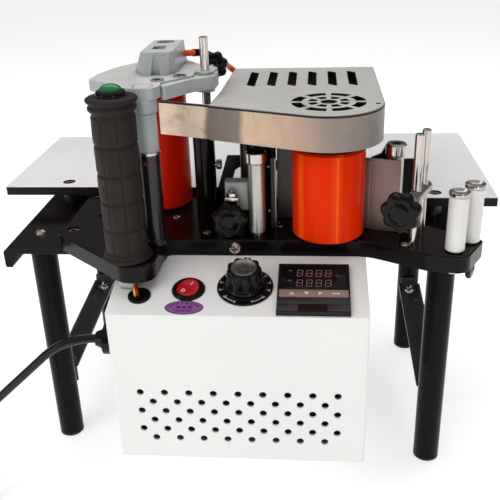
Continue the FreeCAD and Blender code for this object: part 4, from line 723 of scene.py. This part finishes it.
panel_piece("controller_glass", chamfered(CX + 2.4, CS + 21.4, 3.7, CX + 45.6, CS + 45.6, 4.3, 0.2),
            glass_black)
panel_piece("controller_keys", chamfered(CX + 1.2, CS + 13.4, 3.7, CX + 46.8, CS + 20.6, 4.75, 0.25), key_strip)
panel_piece("controller_line", chamfered(CX + 17.0, CS + 12.3, 3.7, CX + 46.8, CS + 13.1, 4.85, 0.1), navy_line)
bar_parts = [chamfered(CX + 0.4, CS + 6.6, 4.2, CX + 47.6, CS + 12.2, 5.0, 0.3),
             chamfered(CX + 0.4, CS + 0.4, 4.2, CX + 14.2, CS + 6.6, 5.0, 0.3),
             chamfered(CX + 33.0, CS + 0.4, 4.2, CX + 47.6, CS + 6.6, 5.0, 0.3)]
panel_piece("controller_bar", joined(bar_parts), slate_plastic)


def digit(cx, cy, w, h, t):
    """The seven bars of an eight, each a slim lozenge."""
    parts = []
    slant = 0.08

    def bar(x0, y0, x1, y1):
        a = Vector((x0, y0))
        b = Vector((x1, y1))
        way = (b - a).normalized()
        off = Vector((-way.y, way.x)) * t / 2
        tip = way * t * 0.5
        ring = [a, a + tip - off, b - tip - off, b, b - tip + off, a + tip + off]
        ring = [(cx + p.x + slant * p.y, cy + p.y) for p in ring]
        parts.append(plate(ring, 4.25, 4.42, 0.04))
    for y in (-h / 2, 0, h / 2):
        bar(-w / 2, y, w / 2, y)
    for x in (-w / 2, w / 2):
        bar(x, -h / 2, x, 0)
        bar(x, 0, x, h / 2)
    return joined(parts)


digit_parts = []
for row_s in (38.6, 28.6):
    for i in range(4):
        digit_parts.append(digit(50.0 + 6.35 * i, row_s, 3.6, 6.1, 0.5))
    digit_parts.append(chamfered(42.2, row_s + 2.2, 4.2, 44.6, row_s + 3.0, 4.42, 0.1))
panel_piece("controller_digits", joined(digit_parts), digit_off)

mark_parts = []
arrow_up = [(-1.9, -1.3), (1.9, -1.3), (0, 1.5)]
arrow_down = [(0, -1.5), (1.9, 1.3), (-1.9, 1.3)]
arrow_right = [(-1.3, -1.7), (1.7, 0), (-1.3, 1.7)]
for cx, points in ((45.0, arrow_up), (54.6, arrow_down), (63.8, arrow_right)):
    mark_parts.append(plate([(cx + x, CS + 16.8 + y) for x, y in points], 4.7, 4.9, 0.08))
for k in range(3):
    mark_parts.append(chamfered(71.6 + 1.7 * k, CS + 15.8, 4.7, 72.7 + 1.7 * k, CS + 17.8, 4.88, 0.1))
panel_piece("controller_marks", joined(mark_parts), key_mark)

# Dial: ring, ticks and plain bars; knob with flutes, a skirt and a spun cap
DIAL = on_panel(13.2, 28.5)
DIAL_R = 19.0
dial_rows = [(0, 0.02), (DIAL_R, 0.02), (DIAL_R, 0.9), (18.6, 1.25), (17.9, 1.3), (17.6, 1.12), (14.6, 1.12),
             (14.2, 1.5), (13.7, 1.5), (13.5, 1.05), (0, 1.05)]
lathe("dial_face", DIAL, dial_rows, "frame", gloss_plastic, "gloss_black_plastic", segments=96)
tick_parts = []


def dial_bar(turn_deg, low, high, half):
    bar = chamfered(-half, low, 1.1, half, high, 1.24, 0.03)
    tick_parts.append((*bar, turned(-turn_deg)))


for i in range(11):
    turn = -130 + 26 * i
    dial_bar(turn, 15.0, 15.9, 0.16)
    dial_bar(turn - 2.2, 16.3, 18.0, 0.17)
    dial_bar(turn + 2.2, 16.3, 18.0, 0.17)
    dial_bar(turn, 16.9, 17.3, 0.55)
for start in (-160, 132):
    for i in range(9):
        dial_bar(start + 3.5 * i, 16.4, 16.9, 0.55)
    dial_bar(start, 15.9, 17.8, 0.35)
    dial_bar(start + 28, 15.6, 16.8, 0.3)
dial_bar(-160 + 28, 16.4, 17.6, 0.5)
dial_bar(132, 16.4, 17.6, 0.5)
panel_piece("dial_ticks", joined(tick_parts), white_mark, matrix=DIAL)
halo = revolve([(DIAL_R, 0.0), (19.55, 0.0), (19.55, 0.25), (DIAL_R, 0.25)], 96)
panel_piece("dial_halo", halo, white_mark, matrix=DIAL)


def knob_flutes(turn, r, z):
    if z < 5.2 or r < 9:
        return r
    wave = (1 + math.cos(9 * turn)) / 2
    return r - 2.1 * (1 - wave ** 0.45)


knob_rows = [(0, 1.5), (13.2, 1.5), (13.4, 2.0), (13.2, 3.4), (12.5, 4.6), (12.2, 5.0), (12.15, 5.3),
             (12.1, 9.0), (11.9, 14.0), (11.75, 16.2), (11.3, 17.1), (10.4, 17.5), (8.7, 17.5), (8.6, 17.2),
             (0, 17.2)]
speed = lathe("knob_body", DIAL, knob_rows, "speed", gloss_plastic, "black_plastic", segments=180,
              shape=knob_flutes, smooth=40.0)
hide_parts("speed_knob")
cap_rows = [(0, 17.15), (8.5, 17.15), (8.5, 17.75), (8.1, 17.95), (7.6, 17.85), (7.3, 17.65), (3.0, 17.6),
            (0, 17.6)]
lathe("knob_cap", DIAL, cap_rows, "speed", spun, "bright_steel")
panel_piece("knob_pointer", chamfered(-0.5, 8.7, 15.5, 0.5, 11.9, 17.75, 0.12), white_mark, "speed",
            "bright_steel", DIAL @ turned(-12))

# Rocker: a round cap with two tilted faces, turned in its frame, with a ring and a bar
ROCK = on_panel(-25.0, 25.0) @ turned(-41) @ turned(8, "X")
ROCKER_R = 7.7


def rocker_mesh(rings=14, segments=72):
    verts = [(0.0, 0.0, 2.75)]
    faces = []
    for k in range(1, rings + 1):
        share = k / rings
        for i in range(segments):
            turn = 2 * math.pi * i / segments
            x = ROCKER_R * share * math.cos(turn)
            y = ROCKER_R * share * math.sin(turn)
            rim = 0.75 * max(0.0, share - 0.86) / 0.14
            rise = 0.8625 * (math.hypot(y, 0.8) / ROCKER_R) ** 1.15
            verts.append((x, y, 2.75 + rise - rim * rim))
    for z in (1.6, -2.0):
        verts += [(x, y, z) for x, y in ellipse(ROCKER_R + 0.05, ROCKER_R + 0.05, segments)]
    for i in range(segments):
        faces.append((0, 1 + i, 1 + (i + 1) % segments))
    for k in range(rings + 1):
        for i in range(segments):
            j = (i + 1) % segments
            low = 1 + k * segments
            faces.append((low + i, low + segments + i, low + segments + j, low + j))
    last = 1 + (rings + 1) * segments
    faces.append(tuple(last + i for i in reversed(range(segments))))
    return verts, faces


rocker = make("rocker_cap", *rocker_mesh(), "rocker", red_plastic, "red_plastic", smooth=45.0, matrix=ROCK)
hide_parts("power_rocker")
off_ring = revolve([(0.95, 0.0), (1.45, 0.0), (1.45, 0.3), (0.95, 0.3)], 32)
on_bar = chamfered(-0.28, -1.6, 0, 0.28, 1.6, 0.3, 0.06)
rocker_marks = joined([(*off_ring, at(0, -4.1, 3.1)),
                       (*on_bar, at(0, 3.9, 3.1) @ Matrix.Rotation(0.1, 4, "X"))])
panel_piece("rocker_marks", rocker_marks, white_mark, "rocker", "red_plastic", ROCK)

# Oval label with plain bars in place of words
LABEL = on_panel(-25.7, 7.6)
panel_piece("oval_label", plate(ellipse(12.4, 6.2), 0.0, 0.18, 0.08), purple, matrix=LABEL)
dots = []
for i in range(8):
    turn = math.radians(160 - 20 * i)
    dots.append((*chamfered(-0.6, -0.55, 0, 0.6, 0.55, 0.3, 0.06),
                 at(9.9 * math.cos(turn), 4.2 * math.sin(turn), 0) @ Matrix.Rotation(turn, 4, "Z")))
glyph = ((0, 0.75, 1.25, 0.28), (0, -0.75, 1.25, 0.28), (-0.75, 0, 0.3, 1.0), (0.6, 0, 0.3, 1.0))
for i in range(3):
    for x, y, wide, tall in glyph:
        dots.append((*chamfered(x - wide, y - tall, 0, x + wide, y + tall, 0.3, 0.06),
                     at(-3.9 + 3.9 * i, 0.1, 0)))
for i in range(5):
    dots.append((*chamfered(-0.75, -0.5, 0, 0.75, 0.5, 0.3, 0.06), at(-4.4 + 2.2 * i, -3.3, 0)))
panel_piece("oval_marks", joined(dots), purple_dark, matrix=LABEL)
panel_piece("oval_rim", plate(ellipse(12.9, 6.7), 0.0, 0.12, 0.05), purple_dark, matrix=LABEL)

# Button leads: out of the socket, up and in behind the handle's nut
for name, look, offset in (("lead_red", red_plastic, 0.0), ("lead_yellow", yellow_plastic, -1.9)):
    start = on_panel(-58.6 + offset, 17.6, -1.5).to_translation()
    steps = ((0, 0, 0), (0, 0, 3.2), (-0.5, 1.2, 5.4), (-1.2, 4.2, 6.8), (-2.0, 8.5, 7.4))
    make(name, *tube([start + Vector(step) for step in steps], 0.85, 12), "frame", look, "orange_silicone")

# ---- hardware details

PLATE_TOP = 201.0
EDGE_ROLLERS = ((153.2, -109.7), (166.0, -94.4))
shank_rows = [(0, 185.0), (2.6, 185.0), (3.0, 185.4), (3.0, 240.5), (6.5, 240.6), (7.0, 241.0), (7.1, 242.4),
              (6.8, 243.3), (6.2, 243.6), (5.4, 243.3), (4.0, 242.2), (3.2, 241.9), (1.4, 241.8), (1.3, 241.2),
              (0, 241.1)]
washer_rows = [(3.05, PLATE_TOP), (4.5, PLATE_TOP), (4.5, 201.7), (3.05, 201.7)]
head_parts = []
for x, y in EDGE_ROLLERS:
    head_parts.append((*revolve(shank_rows, 56), at(x, y)))
    head_parts.append((*plate(ellipse(5.8, 5.8, 6), 185.8, 189.0, 0.4), at(x, y)))
    head_parts.append((*revolve(washer_rows, 40), at(x, y)))
heads = make("edge_screws", *joined(head_parts), "frame", chrome, "bright_steel")
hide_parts("edge_roller_screws")

button_rows = [(0, PLATE_TOP), (3.1, PLATE_TOP), (3.0, 201.7), (2.5, 202.1), (1.5, 202.2), (1.35, 201.5),
               (0, 201.4)]
SMALL_SCREWS = ((-17.9, -82.0), (-45.2, -53.0), (121.3, -101.0))
small = [(*revolve(button_rows, 32), at(x, y)) for x, y in SMALL_SCREWS]
make("plate_small_screws", *joined(small), "frame", chrome, "bright_steel")

# Black thumb screw under the plate's right lobe
wing_rows = [(0, -9.0), (1.7, -9.0), (2.2, -8.0), (2.2, -1.6), (4.4, -1.0), (6.4, -0.2), (7.2, 1.0), (7.2, 2.2),
             (6.6, 3.2), (4.6, 3.7), (1.8, 3.9), (1.5, 3.3), (0, 3.2)]
wing = revolve(wing_rows, 56, lambda turn, r, z: r * (1 + 0.05 * math.cos(6 * turn)) if r > 6 else r)
make("lobe_thumb_screw", *wing, "frame", black_plastic, "black_plastic",
     matrix=aimed((166.4, -95.0, 181.3), (0.9, -0.43, 0.0)))

set_screw = revolve([(0, -1.0), (2.0, -1.0), (2.0, 0.3), (1.6, 0.5), (1.1, 0.5), (1.0, -0.5), (0, -0.5)], 28)
make("post_set_screw", *set_screw, "frame", dark_steel, "dark_steel",
     matrix=aimed((-51.6, -105.35, 261.0), (0, -1, 0)))
bolt_rows = [(0, -1.0), (2.0, -1.0), (2.0, 1.2), (3.6, 1.2), (3.8, 1.5), (3.8, 4.4), (3.3, 4.9), (2.0, 4.9),
             (1.9, 3.4), (0, 3.3)]
make("column_bolt", *revolve(bolt_rows, 36), "frame", brushed, "bright_steel",
     matrix=aimed((-15.4, -40.0, 239.0), (1, 0, 0)))

# Bright slotted frame and screw on the cutter block's face
CUTTER_FACE = at(1.4, -86.0, 224.0)
nut = revolve([(1.6, 0), (3.3, 0), (3.7, 0.4), (3.7, 2.6), (3.2, 3.1), (1.6, 3.1)], 40)
screw = revolve([(0, -3), (1.5, -3), (1.5, 3.6), (1.2, 4.0), (0, 4.0)], 28)
frame_box = [chamfered(-4.9, -1.0, -8.0, -2.1, 4.0, 4.2, 0.5), chamfered(2.1, -1.0, -8.0, 4.9, 4.0, 4.2, 0.5),
             chamfered(-4.9, -1.0, 3.0, 4.9, 4.0, 6.2, 0.5), chamfered(-4.9, -1.0, -10.5, 4.9, 4.0, -8.0, 0.5)]
cutter_parts = frame_box + [(*nut, at(0.2, 1.5, 6.3)), (*screw, at(0.2, 1.5, 7.0))]
make("cutter_frame", *joined(cutter_parts), "frame", chrome, "bright_steel", matrix=CUTTER_FACE)
# Painted shade: a dark piece fills the frame's slot
make("cutter_slot", *chamfered(-2.2, 2.2, -8.2, 2.2, 3.2, 3.2, 0.2), "frame", hollow_shade, "dark_steel",
     matrix=CUTTER_FACE)

# Upright steel strip to the right of the centre guide, the shield behind it, and their screws
make("scraper_strip", *chamfered(28.2, -72.6, 201.1, 31.0, -71.4, 254.0, 0.3), "frame", slate_plastic,
     "dark_steel")
make("scraper_edge", *chamfered(31.1, -72.9, 201.1, 32.1, -71.2, 254.1, 0.2), "frame", brushed, "bright_steel")
make("scraper_shield", *chamfered(31.8, -52.2, 201.1, 50.0, -51.0, 256.0, 0.3), "frame", shield_steel,
     "dark_steel")
strip_screws = []
for z, r in ((247.5, 1.25), (214.0, 1.35)):
    rows = [(0, -1.0), (r, -1.0), (r, 0.6), (r - 0.5, 1.2), (r * 0.4, 1.3), (r * 0.35, 0.6), (0, 0.5)]
    strip_screws.append((*revolve(rows, 24), aimed((27.0, -71.2, z), (0, -1, 0))))
ring_rows = [(2.7, 201.1), (4.3, 201.1), (4.2, 201.7), (3.7, 202.0), (3.1, 201.9), (2.7, 201.5)]
strip_screws.append((*revolve(ring_rows, 48), at(34.2, -66.8)))
make("scraper_screws", *joined(strip_screws), "frame", chrome, "bright_steel")

# Black angle that carries the fence's far end
fence_angle = joined([chamfered(121.6, -61.0, 201.1, 130.0, -59.6, 249.5, 0.3),
                      chamfered(121.6, -59.5, 201.1, 122.8, -50.0, 246.0, 0.3)])
make("fence_angle", *fence_angle, "frame", black_satin, "black_paint")

# Bearing and shaft screw seen through the eye of the grille
eye_rows = [(2.4, 289.5), (6.9, 289.5), (6.9, 293.4), (6.2, 293.9), (5.3, 293.4), (3.6, 291.8), (2.4, 291.6)]
lathe("cover_eye_bearing", at(68.4, -81.0), eye_rows, "frame", brushed, "bright_steel", 64, smooth=40.0)
eye_screw_rows = [(0, 289.0), (2.3, 289.0), (3.4, 291.4), (3.3, 292.6), (2.2, 293.1), (0.9, 293.1),
                  (0.8, 292.3), (0, 292.2)]
lathe("cover_eye_screw", at(69.0, -81.0), eye_screw_rows, "feed", chrome, "bright_steel", 36, smooth=40.0)
bearing_rows = [(6.1, 296.9), (14.5, 296.9), (14.5, 297.6), (13.8, 297.9), (11.2, 297.9), (10.9, 297.5),
                (8.6, 297.5), (8.3, 298.4), (6.1, 298.4)]
lathe("press_bearing", at(-63.0, -20.0), bearing_rows, "press", brushed, "bright_steel", smooth=40.0)

# Heater lead: orange silicone with a black sleeve where it leaves the head
LEAD = [(-37.0, -21, 318), (-31, -19, 317.9), (-24, -7.5, 315.5), (-16, 3.5, 309), (-12, 17, 303),
        (-10, 33, 297), (-2, 41, 286), (7, 36, 262), (9, 18, 244), (12, 0, 234), (17, -11, 230.6),
        (25.2, -16, 230)]
orange_lead = make("heater_lead_tube", *tube(LEAD, 2.3, 24), "frame", orange_rubber, "orange_silicone")
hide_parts("heater_lead")
make("lead_sleeve", *tube(LEAD, 2.75, 24, span=(11, 27)), "frame", black_plastic, "black_plastic")

# Painted shade: dark pieces stand in for the shade inside the two openings in the head's housing
hollow_rows = [(0, 315.6), (6.7, 315.6), (6.7, 316.2), (6.2, 316.5), (0, 316.5)]
lathe("housing_hollow_round", at(-50.5, -17.5), hollow_rows, "frame", hollow_shade, "dark_steel", 40,
      smooth=40.0)
make("housing_hollow_square", *chamfered(-55.0, -49.0, 317.4, -46.0, -36.0, 318.4, 0.3), "frame", hollow_shade,
     "dark_steel")

# Screws that close the back of the control box
BOX_BACK = -28.5
pan_rows = [(0, -0.4), (3.6, -0.4), (3.6, 0.4), (3.1, 1.3), (2.0, 1.9), (0.9, 2.0), (0.85, 1.1), (0, 1.0)]
back = [(*revolve(pan_rows, 28), aimed((x, BOX_BACK, z), (0, 1, 0))) for x in (-71.0, 9.0, 89.0)
        for z in (64.0, 183.0)]
make("back_cover_screws", *joined(back), "frame", chrome, "bright_steel")

# ---- stage, light and camera

FLOOR_R = 6.0
FLOOR_Z = -0.0002
floor_mesh = bpy.data.meshes.new("floor")
corners = [(x * FLOOR_R, y * FLOOR_R, FLOOR_Z) for x, y in ((-1, -1), (1, -1), (1, 1), (-1, 1))]
floor_mesh.from_pydata(corners, [], [(0, 1, 2, 3)])
floor = bpy.data.objects.new("floor", floor_mesh)
bpy.context.scene.collection.objects.link(floor)
floor_mesh.materials.append(finish("floor_white", (0.62, 0.62, 0.615), 0.75, second=(0.61, 0.61, 0.605),
                                   uneven=0.02, specular=0.05, glow=(1, 1, 1), glow_strength=0.6))


def softbox(name, place, aim, wide, tall, power, colour=(1, 1, 1), mirrored=False):
    """An area light. Only a mirrored one shows as a highlight."""
    light = bpy.data.lights.new(name, "AREA")
    light.shape = "RECTANGLE"
    light.size = wide
    light.size_y = tall
    light.energy = power
    light.color = colour
    obj = bpy.data.objects.new(name, light)
    bpy.context.scene.collection.objects.link(obj)
    obj.location = place
    obj.rotation_euler = (Vector(aim) - Vector(place)).to_track_quat("-Z", "Y").to_euler()
    obj.visible_glossy = mirrored


middle = (0.0, -0.04, 0.2)
softbox("key", (-0.75, -1.05, 1.35), middle, 1.1, 0.9, 9.5, (1.0, 0.985, 0.96))
softbox("top", (0.1, 0.35, 1.6), middle, 1.6, 1.2, 12.0)
softbox("front_low", (0.1, -1.6, 0.35), (0, -0.15, 0.1), 1.2, 0.5, 0.5)
softbox("strip_right", (0.62, -1.3, 0.5), middle, 0.07, 0.95, 1.6, (1.0, 0.97, 0.92), True)
softbox("strip_left", (-1.1, -0.75, 0.5), middle, 0.07, 1.0, 1.6, (1.0, 0.95, 0.9), True)
softbox("overhead", (0.0, 0.9, 1.5), middle, 1.6, 0.5, 3.0, (1, 1, 1), True)

world = bpy.data.worlds.new("studio")
bpy.context.scene.world = world
world.use_nodes = True
w = world.node_tree
w.nodes.clear()
coords = w.nodes.new("ShaderNodeTexCoord")
split = w.nodes.new("ShaderNodeSeparateXYZ")
w.links.new(coords.outputs["Generated"], split.inputs[0])
ramp = w.nodes.new("ShaderNodeValToRGB")
elements = ramp.color_ramp.elements
elements[0].position = 0.0
elements[0].color = (0.3, 0.24, 0.2, 1)
elements[1].position = 0.75
elements[1].color = (0.8, 0.8, 0.8, 1)
elements.new(0.25).color = (0.13, 0.105, 0.09, 1)
w.links.new(split.outputs["Z"], ramp.inputs[0])


def background(strength, colour=(1, 1, 1)):
    node = w.nodes.new("ShaderNodeBackground")
    node.inputs["Color"].default_value = (*colour, 1)
    node.inputs["Strength"].default_value = strength
    return node


def choose(flag, otherwise, chosen):
    """One shader where a ray flag is set, another elsewhere."""
    node = w.nodes.new("ShaderNodeMixShader")
    w.links.new(flag, node.inputs[0])
    w.links.new(otherwise.outputs[0], node.inputs[1])
    w.links.new(chosen.outputs[0], node.inputs[2])
    return node


around = background(0.62)
w.links.new(ramp.outputs[0], around.inputs["Color"])
fill = background(0.44, (1, 0.995, 0.985))
rays = w.nodes.new("ShaderNodeLightPath")
soft = choose(rays.outputs["Is Glossy Ray"], fill, around)
blend = choose(rays.outputs["Is Camera Ray"], soft, background(1.0))
out = w.nodes.new("ShaderNodeOutputWorld")
w.links.new(blend.outputs[0], out.inputs[0])

yaw = math.radians(5.49)
pitch = math.radians(24.8)
roll = math.radians(-1.88)
look = Vector((-math.sin(yaw) * math.cos(pitch), math.cos(yaw) * math.cos(pitch), -math.sin(pitch)))
side = Vector((math.cos(yaw), math.sin(yaw), 0))
top = side.cross(look)
right = side * math.cos(roll) + top * math.sin(roll)
up = -side * math.sin(roll) + top * math.cos(roll)
camera_data = bpy.data.cameras.new("camera")
camera_data.lens = 53.44
camera_data.sensor_width = 36.0
camera_data.clip_start = 0.02
camera = bpy.data.objects.new("camera", camera_data)
bpy.context.scene.collection.objects.link(camera)
EYE = (0.05982, -0.57032, 0.41409)
camera.matrix_world = Matrix([(right[i], up[i], -look[i], EYE[i]) for i in range(3)] + [(0, 0, 0, 1)])
bpy.context.scene.camera = camera
bpy.context.scene.view_settings.view_transform = "Standard"
